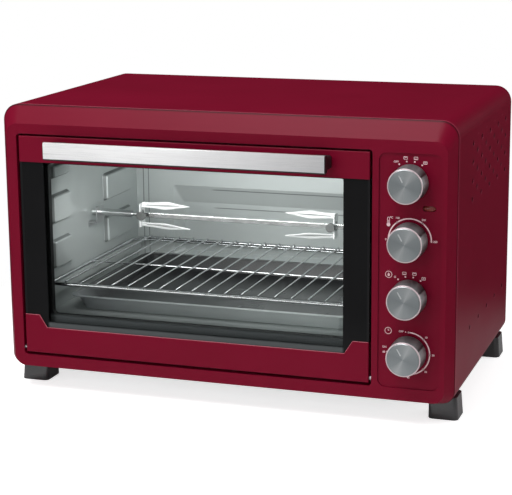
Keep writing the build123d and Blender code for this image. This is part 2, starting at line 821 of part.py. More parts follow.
# Cavity side walls: steel sheets with pressed blocks, between which racks slide, and a rack rail
block_pitch = 56.0
first_block = 50.0
block_heights = (37.0, 37.0, 18.0)
front_block_setback = 50.0
front_block_length = 50.0
rear_block_setback = 205.0
rear_block_gap = 28.0
block_corner = 5.0
emboss_taper = 30.0
rail_tall = 12.0
rail_top = rack_z - rack_wire / 2 - fit_gap
rail_end_gap = 12.0
front_block_y = front_y + front_block_setback + front_block_length / 2
rear_block_start = front_y + rear_block_setback
rear_block_length = cavity_back_y - rear_block_gap - rear_block_start
rear_block_y = rear_block_start + rear_block_length / 2
heater_places = [(cavity_front_y + heater_from_end, cavity_top - upper_heater_drop),
                 (cavity_back_y - heater_from_end, cavity_top - upper_heater_drop),
                 (cavity_front_y + heater_from_end, cavity_bottom - lower_heater_drop),
                 (cavity_back_y - heater_from_end, cavity_bottom - lower_heater_drop)]
socket_diameter = 14.0
socket_neck = 8.0


def embossing(trim):
    """The outlines in Y and Z of a side wall's pressed blocks, drawn in by a trim."""
    with BuildSketch() as blocks:
        for row, tall in enumerate(block_heights):
            z = cavity_bottom + first_block + row * block_pitch + tall / 2
            for y, length in ((front_block_y, front_block_length), (rear_block_y, rear_block_length)):
                with Locations((y, z)):
                    RectangleRounded(length - 2 * trim, tall - 2 * trim, block_corner - trim)
    return blocks.sketch_local


def rail_outline(trim):
    """The outline in Y and Z of the rail that carries the rack."""
    length = cavity_back_y - cavity_front_y - 2 * rail_end_gap
    with BuildSketch() as rail:
        with Locations(((cavity_front_y + cavity_back_y) / 2, rail_top - rail_tall / 2)):
            Rectangle(length - 2 * trim, rail_tall - 2 * trim)
    return rail.sketch_local


def side_wall(x, side, holes):
    """One side wall; side is 1 where the cavity lies towards +X."""
    with BuildPart() as wall:
        with BuildSketch(sideways(x)):
            centre, width, height = framed(cavity_front_y, cavity_back_y, under_z, cavity_top)
            with Locations(centre):
                Rectangle(width, height)
        extrude(amount=-side * cavity_sheet)
        with BuildSketch(sideways(x)):
            add(embossing(0))
        extrude(amount=side * emboss, taper=emboss_taper)
        with BuildSketch(sideways(x)):
            add(rail_outline(0))
        extrude(amount=side * rail_emboss)
        with BuildSketch(sideways(x - side * cavity_sheet)):
            add(embossing(cavity_sheet))
        extrude(amount=side * emboss, taper=emboss_taper, mode=Mode.SUBTRACT)
        with BuildSketch(sideways(x - side * cavity_sheet)):
            add(rail_outline(cavity_sheet))
        extrude(amount=side * rail_emboss, mode=Mode.SUBTRACT)
        with BuildSketch(sideways(x)):
            with Locations(*heater_places):
                Circle(heater_diameter / 2 + fit_gap)
            for place, radius in holes:
                with Locations(place):
                    Circle(radius)
        extrude(amount=-side * cavity_sheet, mode=Mode.SUBTRACT)
    return wall


keep(side_wall(cavity_left, 1, []), "cavity_left_wall")
keep(side_wall(cavity_right, -1, [((spit_y, spit_z), socket_diameter / 2 + 1)]), "cavity_right_wall")

with BuildPart() as cavity_ceiling:
    with BuildSketch(Plane.XY.offset(cavity_top)):
        centre, width, height = framed(cavity_left - cavity_sheet, cavity_right + cavity_sheet,
                                       cavity_front_y, cavity_back_y)
        with Locations(centre):
            Rectangle(width, height)
    extrude(amount=cavity_sheet)
keep(cavity_ceiling, "cavity_ceiling")

with BuildPart() as cavity_floor:
    with BuildSketch(Plane.XY.offset(cavity_bottom)):
        centre, width, height = framed(cavity_left, cavity_right, cavity_front_y, cavity_back_y)
        with Locations(centre):
            Rectangle(width, height)
    extrude(amount=-cavity_sheet)
keep(cavity_floor, "cavity_floor")

with BuildPart() as lower_reflector:
    with BuildSketch(Plane.XY.offset(under_z)):
        centre, width, height = framed(cavity_left, cavity_right, cavity_front_y, cavity_back_y)
        with Locations(centre):
            Rectangle(width, height)
    extrude(amount=cavity_sheet)
keep(lower_reflector, "lower_reflector")

# Cavity back: a sheet with a wide pressing that bulges to the rear, its top side a long slope
bulge_side = 53.0
bulge_low = 13.0
bulge_high = 112.0
bulge_run = 12.0
bulge_top_run = 24.5
bulge_low_run = 5.0


def bulge_outline(side, low, high):
    """The bulge's outline in X and Z, drawn in at the sides, the bottom and the top."""
    return rounded_panel(cavity_left + bulge_side + side, cavity_right - bulge_side - side,
                         cavity_bottom + bulge_low + low, cavity_bottom + bulge_high - high, 3)


with BuildPart() as cavity_back:
    with BuildSketch(facing(cavity_back_y)):
        add(rounded_panel(cavity_left - cavity_sheet, cavity_right + cavity_sheet, under_z,
                          cavity_top + cavity_sheet, 1))
    extrude(amount=-cavity_sheet)
    with BuildSketch(facing(cavity_back_y + cavity_sheet)):
        add(bulge_outline(0, 0, 0))
    with BuildSketch(facing(cavity_back_y + bulge_depth)):
        add(bulge_outline(bulge_run, bulge_low_run, bulge_top_run))
    loft(ruled=True)
    with BuildSketch(facing(cavity_back_y)):
        add(bulge_outline(cavity_sheet, cavity_sheet, cavity_sheet))
    with BuildSketch(facing(cavity_back_y + bulge_depth - cavity_sheet)):
        add(bulge_outline(bulge_run + cavity_sheet, bulge_low_run + cavity_sheet,
                          bulge_top_run + cavity_sheet))
    loft(ruled=True, mode=Mode.SUBTRACT)
keep(cavity_back, "cavity_back")

# Heat shield: a slotted sheet between the cavity and the dials' compartment
shield_slots = 7
shield_slot_pitch = 24.0
shield_slot_width = 5.0
with BuildPart() as heat_shield:
    with BuildSketch(sideways(shield_x)):
        shield_low = base_z + casing_sheet
        shield_high = top_z - frame_edge - bottom_radius
        centre, width, height = framed(cavity_front_y, cavity_back_y, shield_low, shield_high)
        with Locations(centre):
            Rectangle(width, height)
        with Locations((spit_y, spit_z)):
            Circle(socket_neck, mode=Mode.SUBTRACT)
        with Locations((cavity_front_y + width / 4, centre[1])):
            with GridLocations(0, shield_slot_pitch, 1, shield_slots):
                SlotOverall(width / 4, shield_slot_width, mode=Mode.SUBTRACT)
        with Locations((cavity_back_y - width / 5, centre[1])):
            with GridLocations(0, shield_slot_pitch, 1, shield_slots):
                SlotOverall(width / 4, shield_slot_width, mode=Mode.SUBTRACT)
    extrude(amount=cavity_sheet)
keep(heat_shield, "heat_shield")

# Heating rods, two above and two under the floor, and the ceramic sleeves that hold their ends
sleeve_length = 9.0


def rods(places):
    """Sheathed heating rods across the cavity, one at each place in Y and Z."""
    with BuildPart() as group:
        with BuildSketch(sideways(cavity_left - heater_end)):
            with Locations(*places):
                Circle(heater_diameter / 2)
        extrude(amount=cavity_right - cavity_left + 2 * heater_end)
    return group


keep(rods(heater_places[:2]), "upper_heating_rods")
keep(rods(heater_places[2:]), "lower_heating_rods")

with BuildPart() as heater_sleeves:
    for x, side in ((cavity_left - cavity_sheet, -1), (cavity_right + cavity_sheet, 1)):
        with BuildSketch(sideways(x)):
            with Locations(*heater_places):
                Circle(insulator_diameter / 2)
                Circle(heater_diameter / 2 + run_gap, mode=Mode.SUBTRACT)
        extrude(amount=side * sleeve_length)
keep(heater_sleeves, "heater_sleeves")

# Wire rack: a bent frame wire with rods welded across it and two cross wires below them
rack_left = cavity_left + rack_side_gap
rack_right = cavity_right - rack_side_gap
rack_front = cavity_front_y + rack_front_gap
rack_back = cavity_back_y - rack_back_gap
rack_middle_y = (rack_front + rack_back) / 2
rod_z = rack_z + rack_wire / 2 + rack_rod / 2 - 0.4
cross_z = rod_z - rack_rod + 0.4
cross_places = (0.43, 0.93)
rod_count = round((rack_right - rack_left) / rack_pitch) - 1
rod_pitch = (rack_right - rack_left) / (rod_count + 1)
rack_width = rack_right - rack_left
rack_length = rack_back - rack_front
with BuildPart() as wire_rack:
    with BuildLine(Plane.XY.offset(rack_z)) as frame_wire:
        FilletPolyline(
            (rack_left, rack_front),
            (rack_right, rack_front),
            (rack_right, rack_back),
            (rack_left, rack_back),
            radius=[rack_front_corner, rack_front_corner, rack_corner, rack_corner],
            close=True,
        )
    with BuildSketch(Plane(origin=frame_wire.line @ 0, z_dir=frame_wire.line % 0)):
        Circle(rack_wire / 2)
    sweep()
    with BuildSketch(facing(rack_front)):
        with Locations((door_middle, rod_z)):
            with GridLocations(rod_pitch, 0, rod_count, 1):
                Circle(rack_rod / 2)
    extrude(amount=-rack_length)
    with BuildSketch(sideways(rack_left)):
        for share in cross_places:
            with Locations((rack_front + share * rack_length, cross_z)):
                Circle(rack_rod / 2)
    extrude(amount=rack_width)
keep(wire_rack, "wire_rack")

# Baking tray: a black enamelled pan with flared walls and a flat rim, standing on the floor
tray_base_z = cavity_bottom + fit_gap
tray_left = cavity_left + tray_side_gap
tray_front = cavity_front_y + tray_front_gap
tray_back = cavity_back_y - tray_back_gap
tray_width = 2 * (door_middle - tray_left)
tray_length = tray_back - tray_front
tray_middle = (door_middle, (tray_front + tray_back) / 2)


def tray_outline(inset, radius):
    """The tray's rounded outline seen from above, drawn in from its rim by an inset."""
    with BuildSketch() as outline:
        with Locations(tray_middle):
            RectangleRounded(tray_width - 2 * inset, tray_length - 2 * inset, radius)
    return outline.sketch_local


with BuildPart() as baking_tray:
    with BuildSketch(Plane.XY.offset(tray_base_z)):
        add(tray_outline(tray_rim + tray_flare, tray_corner - tray_rim))
    with BuildSketch(Plane.XY.offset(tray_base_z + tray_height)):
        add(tray_outline(tray_rim, tray_corner))
    loft(ruled=True)
    with BuildSketch(Plane.XY.offset(tray_base_z + tray_height)):
        add(tray_outline(0, tray_corner))
    extrude(amount=-tray_sheet)
    with BuildSketch(Plane.XY.offset(tray_base_z + tray_sheet)):
        add(tray_outline(tray_rim + tray_flare + tray_sheet, tray_corner - tray_rim - tray_sheet))
    with BuildSketch(Plane.XY.offset(tray_base_z + tray_height)):
        add(tray_outline(tray_rim + tray_sheet, tray_corner - tray_sheet))
    loft(ruled=True, mode=Mode.SUBTRACT)
keep(baking_tray, "baking_tray")

# Spit: a turned journal and a square rod whose end turns in the drive socket
spit_wall_gap = 2.0
journal_length = 57.0
neck_length = 10.0
neck_diameter = 5.6
socket_depth = 12.0
socket_wall_gap = 1.0
spit_end_x = cavity_right - socket_wall_gap - fit_gap
spit_start_x = cavity_left + spit_wall_gap
rod_start_x = spit_start_x + journal_length + neck_length
with BuildPart() as spit_rod:
    with BuildSketch(sideways(spit_start_x)):
        with Locations((spit_y, spit_z)):
            Circle(spit_journal / 2)
    extrude(amount=journal_length)
    chamfer(spit_rod.faces().sort_by(Axis.X)[0].edges(), 1)
    with BuildSketch(sideways(spit_start_x + journal_length)):
        with Locations((spit_y, spit_z)):
            Circle(neck_diameter / 2)
    extrude(amount=neck_length)
    with BuildSketch(sideways(rod_start_x)):
        with Locations((spit_y, spit_z)):
            RectangleRounded(spit_square, spit_square, spit_square / 8)
    extrude(amount=spit_end_x - rod_start_x)
keep(spit_rod, "spit_rod")

with BuildPart() as drive_socket:
    with BuildSketch(sideways(cavity_right - socket_wall_gap - socket_depth)):
        with Locations((spit_y, spit_z)):
            Circle(socket_diameter / 2)
            Rectangle(spit_square + fit_gap, spit_square + fit_gap, mode=Mode.SUBTRACT)
    extrude(amount=socket_depth)
    with BuildSketch(sideways(cavity_right - socket_wall_gap)):
        with Locations((spit_y, spit_z)):
            Circle(socket_diameter / 2)
    extrude(amount=cavity_sheet + socket_wall_gap + 2)
    with BuildSketch(sideways(cavity_right)):
        with Locations((spit_y, spit_z)):
            Circle(socket_neck / 2)
    extrude(amount=shield_gap + 2 * socket_depth)
keep(drive_socket, "drive_socket")

# Spit motor: a small geared motor on the heat shield
motor_diameter = 48.0
motor_length = 26.0
motor_ear = 62.0
motor_x = shield_x + cavity_sheet
with BuildPart() as spit_motor:
    with BuildSketch(sideways(motor_x)):
        with Locations((spit_y, spit_z)):
            Circle(motor_diameter / 2)
            SlotOverall(motor_ear, motor_diameter / 4)
    extrude(amount=2)
    with BuildSketch(sideways(motor_x)):
        with Locations((spit_y, spit_z)):
            Circle(motor_diameter / 2)
    extrude(amount=motor_length)
    with BuildSketch(sideways(motor_x)):
        with Locations((spit_y, spit_z)):
            Circle(socket_neck / 2 + run_gap)
    extrude(amount=shield_gap + 2 * socket_depth, mode=Mode.SUBTRACT)
keep(spit_motor, "spit_motor")

# Spit bracket: a folded steel cradle on the left wall that carries the spit's journal
bracket_sheet = 1.5
bracket_reach = 14.0
bracket_wide = 22.0
bracket_low = 14.0
bracket_high = 8.0
with BuildPart() as spit_bracket:
    bracket_z = spit_z + (bracket_high - bracket_low) / 2
    with BuildSketch(sideways(cavity_left + bracket_reach)):
        with Locations((spit_y, bracket_z)):
            RectangleRounded(bracket_wide, bracket_low + bracket_high, 3)
    extrude(amount=-bracket_sheet)
    with BuildSketch(sideways(cavity_left)):
        with Locations((spit_y, spit_z - bracket_low + bracket_sheet / 2)):
            Rectangle(bracket_wide - 6, bracket_sheet)
    extrude(amount=bracket_reach)
    with BuildSketch(sideways(cavity_left)):
        with Locations((spit_y, spit_z - bracket_low - bracket_sheet)):
            Rectangle(bracket_wide - 6, 5 * bracket_sheet)
    extrude(amount=bracket_sheet)
    with BuildSketch(sideways(cavity_left)):
        with Locations((spit_y, spit_z)):
            Circle(spit_journal / 2 + run_gap)
        with Locations((spit_y, spit_z + bracket_high)):
            Rectangle(spit_journal + 2 * run_gap, 2 * bracket_high)
    extrude(amount=2 * bracket_reach, mode=Mode.SUBTRACT)
keep(spit_bracket, "spit_bracket")

# Meat forks: each a folded steel plate with four prongs' outline in two blades, and a thumbscrew
fork_hub = 12.0
fork_hub_length = 9.0
fork_plate = 1.6
fork_tall = 15.0
prong_width = 5.0
prong_tip = 17.0
thumb_diameter = 11.0
thumb_height = 5.0
thumb_shank = 4.0
thumb_stand = 3.0


def fork_blade(x, side):
    """A fork whose prongs point towards side, with a square bore that slides on the spit."""
    root_x = x + side * fork_plate
    with BuildPart() as fork:
        with BuildSketch(sideways(x)):
            with Locations((spit_y, spit_z)):
                RectangleRounded(prong_width, 2 * fork_tall, prong_width / 3)
                Rectangle(fork_hub, fork_hub)
        extrude(amount=side * fork_plate)
        with BuildSketch(sideways(x)):
            with Locations((spit_y, spit_z)):
                RectangleRounded(fork_hub, fork_hub, 2)
        extrude(amount=-side * fork_hub_length)
        for way in (-1, 1):
            with BuildSketch(Plane.XZ.offset(-spit_y)):
                with BuildLine():
                    Polyline(
                        (x, spit_z + way * fork_tall),
                        (x, spit_z + way * (fork_tall - prong_width)),
                        (root_x, spit_z + way * (fork_tall - prong_width)),
                        (x + side * fork_reach, spit_z + way * prong_tip),
                        (root_x, spit_z + way * fork_tall),
                        close=True,
                    )
                make_face()
            extrude(amount=fork_plate / 2, both=True)
        with BuildSketch(sideways(x + side * fork_plate)):
            with Locations((spit_y, spit_z)):
                Rectangle(spit_square + fit_gap, spit_square + fit_gap)
        extrude(amount=-side * (fork_plate + fork_hub_length), mode=Mode.SUBTRACT)
        with BuildSketch(facing(spit_y)):
            with Locations((x - side * fork_hub_length / 2, spit_z)):
                Circle(thumb_shank / 2 + run_gap)
        extrude(amount=fork_hub, mode=Mode.SUBTRACT)
    return fork


def thumbscrew(x, side):
    """The knurled screw that clamps a fork to the spit."""
    shank_start = spit_y - spit_square / 2 - run_gap
    head_y = spit_y - fork_hub / 2 - thumb_stand
    with BuildPart() as screw:
        with BuildSketch(facing(shank_start)):
            with Locations((x - side * fork_hub_length / 2, spit_z)):
                Circle(thumb_shank / 2)
        extrude(amount=shank_start - head_y)
        with BuildSketch(facing(head_y)):
            with Locations((x - side * fork_hub_length / 2, spit_z)):
                RegularPolygon(thumb_diameter / 2, 16)
        extrude(amount=thumb_height)
    return screw


left_fork_x = cavity_left + fork_inset
right_fork_x = cavity_right - fork_inset
keep(fork_blade(left_fork_x, 1), "left_fork")
keep(fork_blade(right_fork_x, -1), "right_fork")
keep(thumbscrew(left_fork_x, 1), "left_fork_screw")
keep(thumbscrew(right_fork_x, -1), "right_fork_screw")

# Back panel: a flanged sheet inside the casing, with vent slots and a gland for the supply cord
back_inset = casing_sheet + fit_gap
back_slot_rows = 6
back_slot_columns = 5
back_slot_length = 44.0
back_slot_width = 4.0
back_slot_pitch_x = 62.0
back_slot_pitch_z = 16.0
gland_diameter = 16.0
gland_flange = 21.0
gland_bore = 8.0
gland_x = right_x - 45.0
gland_z = body_z + 40.0
back_face_y = back_y - back_setback
screw_side = overall_width / 2 - 30.0
screw_low = body_z + 12.0
screw_high = top_z - 12.0
back_screw_places = [(x, z) for x in (-screw_side, 0, screw_side) for z in (screw_low, screw_high)]
with BuildPart() as back_panel:
    with BuildSketch(facing(back_face_y - back_flange)):
        add(body_outline(back_inset))
    extrude(amount=-back_flange)
    with BuildSketch(facing(back_face_y - back_flange)):
        add(body_outline(back_inset + back_sheet))
    extrude(amount=back_sheet - back_flange, mode=Mode.SUBTRACT)
    with BuildSketch(facing(back_face_y)):
        with Locations((door_middle, (body_z + top_z) / 2)):
            with GridLocations(back_slot_pitch_x, back_slot_pitch_z, back_slot_columns, back_slot_rows):
                SlotOverall(back_slot_length, back_slot_width)
        with Locations((gland_x, gland_z)):
            Circle(gland_diameter / 2 + run_gap)
        with Locations(*back_screw_places):
            Circle(screw_diameter / 2 + run_gap)
    extrude(amount=back_sheet, mode=Mode.SUBTRACT)
keep(back_panel, "back_panel")

with BuildPart() as cord_gland:
    with BuildSketch(facing(back_face_y)):
        with Locations((gland_x, gland_z)):
            Circle(gland_flange / 2)
    extrude(amount=-(back_setback - fit_gap), taper=20)
    with BuildSketch(facing(back_face_y)):
        with Locations((gland_x, gland_z)):
            Circle(gland_diameter / 2)
    extrude(amount=3 * back_sheet)
    with BuildSketch(facing(back_face_y - back_sheet)):
        with Locations((gland_x, gland_z)):
            Circle(gland_flange / 2)
    extrude(amount=2 * back_sheet)
    with BuildSketch(facing(back_y)):
        with Locations((gland_x, gland_z)):
            Circle(gland_bore / 2)
    extrude(amount=back_flange, mode=Mode.SUBTRACT)
keep(cord_gland, "cord_gland")

# Body screws: alike pan-head screws, four up through the feet and six in the back panel
foot_screw_z = foot_height - 2 * foot_top
with BuildPart() as body_screws:
    with BuildSketch(Plane.XY.offset(foot_screw_z)):
        with Locations(*foot_screw_places):
            Circle(screw_diameter / 2)
    extrude(amount=2 * foot_top + 3 * casing_sheet)
    with BuildSketch(Plane.XY.offset(foot_screw_z)):
        with Locations(*foot_screw_places):
            Circle(screw_head / 2)
    extrude(amount=-screw_head_height, taper=15)
    with BuildSketch(facing(back_face_y)):
        with Locations(*back_screw_places):
            Circle(screw_diameter / 2)
    extrude(amount=8 * back_sheet)
    with BuildSketch(facing(back_face_y)):
        with Locations(*back_screw_places):
            Circle(screw_head / 2)
    extrude(amount=-screw_head_height, taper=15)
keep(body_screws, "body_screws")

# Terminal block: where the supply cord meets the oven's wires, on the base plate
block_wide = 24.0
block_long = 46.0
block_high = 16.0
block_x = gland_x
terminal_y = base_back_y - 60.0
with BuildPart() as terminal_block:
    with BuildSketch(Plane.XY.offset(base_z + casing_sheet)):
        with Locations((block_x, terminal_y)):
            Rectangle(block_long, block_wide)
    extrude(amount=block_high)
    with BuildSketch(Plane.XY.offset(base_z + casing_sheet + block_high)):
        with Locations((block_x, terminal_y)):
            with GridLocations(block_long / 3, block_wide / 2, 3, 2):
                Circle(screw_diameter / 2)
    extrude(amount=-block_high / 3, mode=Mode.SUBTRACT)
keep(terminal_block, "terminal_block")
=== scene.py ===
import math

import bpy
import numpy as np
from mathutils import Matrix, Vector


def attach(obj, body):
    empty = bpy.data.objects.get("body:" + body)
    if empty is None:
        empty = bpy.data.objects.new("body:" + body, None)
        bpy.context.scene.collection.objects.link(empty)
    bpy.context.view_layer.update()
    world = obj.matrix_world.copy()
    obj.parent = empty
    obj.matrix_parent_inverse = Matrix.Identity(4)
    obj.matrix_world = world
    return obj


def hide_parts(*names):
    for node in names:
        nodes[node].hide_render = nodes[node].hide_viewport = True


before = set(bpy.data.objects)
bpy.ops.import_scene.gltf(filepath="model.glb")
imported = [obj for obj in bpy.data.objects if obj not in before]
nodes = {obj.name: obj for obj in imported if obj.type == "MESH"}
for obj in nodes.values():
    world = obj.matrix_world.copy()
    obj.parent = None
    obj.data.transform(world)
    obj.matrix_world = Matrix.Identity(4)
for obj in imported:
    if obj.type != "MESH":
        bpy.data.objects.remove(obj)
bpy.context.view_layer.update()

scene = bpy.context.scene
scene.view_settings.view_transform = "Standard"

# The photographer's place: a long lens a little above the oven and to its
# right, looking down on it, with the picture's middle shifted up and left.
film_width = 36.0
focal_length = 111.83
film_shift = (-0.0257, -0.0245)
camera_place = (0.61677, -1.82630, 0.59688)
camera_heading, camera_dip, camera_roll = 18.391, 12.373, -0.381
camera = bpy.data.objects.new("camera", bpy.data.cameras.new("camera"))
scene.collection.objects.link(camera)
scene.camera = camera
camera.data.sensor_width = film_width
camera.data.lens = focal_length
camera.data.shift_x, camera.data.shift_y = film_shift
turn = Matrix.Rotation(math.radians(camera_heading), 4, "Z")
tilt = Matrix.Rotation(math.radians(90 - camera_dip), 4, "X")
roll = Matrix.Rotation(math.radians(camera_roll), 4, "Z")
camera.matrix_world = Matrix.Translation(camera_place) @ turn @ tilt @ roll


# The table and the room: a white sheet that runs on past the view, in a white
# room. The eye and the glass see both at full white. Gloss sees them dimmed,
# and brighter towards the front of the oven than behind it.
class Wire:
    """One output in a material. A sum written on it in Python adds its Math node."""

    def __init__(self, tree, socket=None):
        self.tree = tree
        self.socket = socket

    def add(self, kind, settings=None, sockets=None, output=0):
        """Adds one node: its settings first, then its sockets' values or links. Gives back one output."""
        node = self.tree.nodes.new(kind)
        for name, value in (settings or {}).items():
            if name == "stops":
                while len(node.color_ramp.elements) < len(value):
                    node.color_ramp.elements.new(1.0)
                for element, (position, colour) in zip(node.color_ramp.elements, value):
                    element.position = position
                    element.color = colour
            else:
                setattr(node, name, value)
        for name, value in (sockets or {}).items():
            if isinstance(value, Wire):
                self.tree.links.new(value.socket, node.inputs[name])
            else:
                node.inputs[name].default_value = value
        return Wire(self.tree, node.outputs[output] if len(node.outputs) else None)

    def reckon(self, operation, first, second):
        """One Math node on two numbers or wires."""
        return self.add("ShaderNodeMath", {"operation": operation}, {0: first, 1: second})

    def __add__(self, other):
        return self.reckon("ADD", self, other)

    def __radd__(self, other):
        return self.reckon("ADD", other, self)

    def __sub__(self, other):
        return self.reckon("SUBTRACT", self, other)

    def __rsub__(self, other):
        return self.reckon("SUBTRACT", other, self)

    def __mul__(self, other):
        return self.reckon("MULTIPLY", self, other)

    def __rmul__(self, other):
        return self.reckon("MULTIPLY", other, self)

    def __truediv__(self, other):
        return self.reckon("DIVIDE", self, other)


def ink(red, green, blue):
    """A colour as a screen shows it, 0 to 255, turned into the light it stands for."""
    shown = np.array([red, green, blue]) / 255
    light = np.where(shown < 0.04045, shown / 12.92, ((shown + 0.055) / 1.055) ** 2.4)
    return (*light.tolist(), 1.0)


def new_material(name):
    """An empty material and the wire that its nodes are added from."""
    material = bpy.data.materials.new(name)
    material.use_nodes = True
    material.node_tree.nodes.clear()
    return material, Wire(material.node_tree)


def surface(wire, sockets):
    """Ends a material in the one layered shader, with these values or links on its sockets."""
    shader = wire.add("ShaderNodeBsdfPrincipled", None, sockets)
    wire.add("ShaderNodeOutputMaterial", None, {"Surface": shader})


def coordinates(wire):
    """The place on a piece in its own coordinates, which are the oven's, in metres."""
    return wire.add("ShaderNodeTexCoord", None, None, "Object")


def axis_of(wire, place, axis):
    """One coordinate of a place: X across the oven, Y inward from its front, Z upward."""
    return wire.add("ShaderNodeSeparateXYZ", None, {"Vector": place}, axis)


def slope(wire, value, low, high, first=0.0, last=1.0, kind="LINEAR"):
    """A number that goes from first to last as a value goes from low to high, and is level beyond."""
    return wire.add("ShaderNodeMapRange", {"interpolation_type": kind}, {
        "Value": value, "From Min": low, "From Max": high, "To Min": first, "To Max": last})


def rays(wire):
    """1 for what the camera sees, for what shows in gloss, and for what shows through glass."""
    return [wire.add("ShaderNodeLightPath", None, None, kind)
            for kind in ("Is Camera Ray", "Is Glossy Ray", "Is Transmission Ray")]


def mesh_piece(name, points, faces, smooth=True):
    """A piece from an array of points and a list or array of faces, at the origin."""
    mesh = bpy.data.meshes.new(name)
    corners = np.asarray(points, float).reshape(-1, 3).tolist()
    mesh.from_pydata(corners, [], [[int(k) for k in face] for face in faces])
    mesh.shade_smooth() if smooth else mesh.shade_flat()
    piece = bpy.data.objects.new(name, mesh)
    scene.collection.objects.link(piece)
    return piece


floor_reach = 6.0
gloss_front, gloss_behind = 0.32, 0.02
sheet_glow = 0.7
room_light = 0.42
fade_near, fade_far = 0.25, 0.6
floor_corners = [(-floor_reach, -floor_reach, 0), (floor_reach, -floor_reach, 0),
                 (floor_reach, floor_reach, 0), (-floor_reach, floor_reach, 0)]
floor = mesh_piece("floor", floor_corners, [(0, 1, 2, 3)])
floor_sheet, w = new_material("white sheet")
ray, glossy, through = rays(w)
place = coordinates(w)
before = slope(w, axis_of(w, place, "Y"), -0.5, -0.2, gloss_front, gloss_behind)
seen = w.add("ShaderNodeClamp", None, {"Value": ray + through + glossy * before})
lit_sheet = w.add("ShaderNodeBsdfPrincipled", None, {
    "Base Color": (0.8, 0.8, 0.8, 1.0), "Roughness": 0.9, "Specular IOR Level": 0.1,
    "Emission Color": (1, 1, 1, 1), "Emission Strength": seen * sheet_glow})
far_off = w.add("ShaderNodeEmission", None, {"Color": (1, 1, 1, 1), "Strength": seen})
reach = w.add("ShaderNodeVectorMath", {"operation": "LENGTH"}, {0: place}, "Value")
fade = slope(w, reach, fade_near, fade_far, kind="SMOOTHSTEP")
watched = w.add("ShaderNodeClamp", None, {"Value": ray + glossy + through})
sheet_mix = w.add("ShaderNodeMixShader", None, {0: fade * watched, 1: lit_sheet, 2: far_off})
w.add("ShaderNodeOutputMaterial", None, {"Surface": sheet_mix})
floor.data.materials.append(floor_sheet)

world = bpy.data.worlds.new("room")
scene.world = world
world.use_nodes = True
world.node_tree.nodes.clear()
w = Wire(world.node_tree)
ray, glossy, through = rays(w)
way = w.add("ShaderNodeTexCoord", None, None, "Generated")
mirrored = glossy * slope(w, axis_of(w, way, "Y"), -0.5, 0.5, gloss_front, gloss_behind, "SMOOTHSTEP")
plain = 1 - w.add("ShaderNodeClamp", None, {"Value": ray + glossy + through})
room = w.add("ShaderNodeBackground", None, {
    "Color": (1, 1, 1, 1), "Strength": ray + through + mirrored + plain * room_light})
w.add("ShaderNodeOutputWorld", None, {"Surface": room})


def soft_lamp(name, place, aim, width, height, power, spread=180):
    """A rectangular soft lamp at a place, turned to face a point, whose light fans out by an angle."""
    lamp = bpy.data.objects.new(name, bpy.data.lights.new(name, "AREA"))
    scene.collection.objects.link(lamp)
    lamp.data.shape = "RECTANGLE"
    lamp.data.size = width
    lamp.data.size_y = height
    lamp.data.energy = power
    lamp.data.spread = math.radians(spread)
    lamp.visible_camera = False
    lamp.location = place
    lamp.rotation_euler = (Vector(aim) - Vector(place)).to_track_quat("-Z", "Y").to_euler()


# The lamps: a wide one overhead, one in front on the left, one behind on the
# right, and a faint narrow one inside the cavity, close behind the door.
soft_lamp("top_lamp", (-0.6, -0.7, 2.2), (0, -0.1, 0.2), 2.0, 0.9, 42)
soft_lamp("front_lamp", (-0.9, -2.1, 0.95), (-0.1, -0.15, 0.2), 1.2, 0.5, 9)
soft_lamp("side_lamp", (1.9, 1.1, 0.9), (0.27, 0.0, 0.18), 1.0, 0.8, 14)
soft_lamp("cavity_lamp", (-0.035, -0.128, 0.23), (-0.035, 0.1, 0.13), 0.34, 0.06, 0.42, 130)


# The painted shell: a wrap-round casing and a pressed front in thin sheet,
# stoved with a deep red gloss paint that has a little orange-peel in it.
def noise(wire, place, scale, detail=2.0):
    """A soft random pattern from 0 to 1, this many swells to a metre."""
    return wire.add("ShaderNodeTexNoise", None, {"Vector": place, "Scale": scale, "Detail": detail})


def bumped(wire, height, depth):
    """A normal that follows a height, whose full swing stands for this depth in metres."""
    return wire.add("ShaderNodeBump", None, {"Strength": 1.0, "Distance": depth, "Height": height})


def blended(wire, factor, first, second):
    """A colour between two colours."""
    return wire.add("ShaderNodeMix", {"data_type": "RGBA"}, {"Factor": factor, 6: first, 7: second}, 2)


def band_mask(wire, value, low, high, soft):
    """1 where a value lies between low and high, and 0 beyond, with soft edges."""
    rise, fall = (slope(wire, value, edge - soft, edge + soft) for edge in (low, high))
    return rise * (1 - fall)


def span(name):
    """The low and the high corner of a node's box, in metres."""
    corners = np.array([corner[:] for corner in nodes[name].bound_box])
    return corners.min(0), corners.max(0)


def coat(material, *names):
    """Gives a material to CAD nodes."""
    for name in names:
        nodes[name].data.materials[0] = material


casing_low, casing_high = span("outer_casing")
seam = casing_low[1]
seam_blur = 0.0004


def stoved_red(name, marks):
    """Red stoved paint: clouded, with orange-peel in it, and a painted highlight in a paler band on the
    casing's front edge.
    Each mark from marks(wire, place) is a mask and the colour painted there."""
    material, wire = new_material(name)
    place = coordinates(wire)
    clouds = noise(wire, place, 9.0, 3.0)
    peel = noise(wire, place, 900.0)
    specks = noise(wire, place, 2600.0)
    # Painted highlight: a pale band on the casing's rounded front edge, just behind the seam, where it catches
    # the light.
    hem_highlight = band_mask(wire, axis_of(wire, place, "Y"), seam + 0.0004, seam + 0.0034, seam_blur) * 0.28
    colour = blended(wire, clouds, ink(110, 0, 31), ink(121, 2, 38))
    colour = blended(wire, hem_highlight, colour, ink(190, 84, 108))
    for mask, painted_light_tone in marks(wire, place):
        colour = blended(wire, mask, colour, painted_light_tone)
    surface(wire, {"Base Color": colour, "Roughness": 0.3 + clouds * 0.08 + specks * 0.05,
                   "Specular IOR Level": 0.13, "Normal": bumped(wire, peel, 0.00002)})
    return material


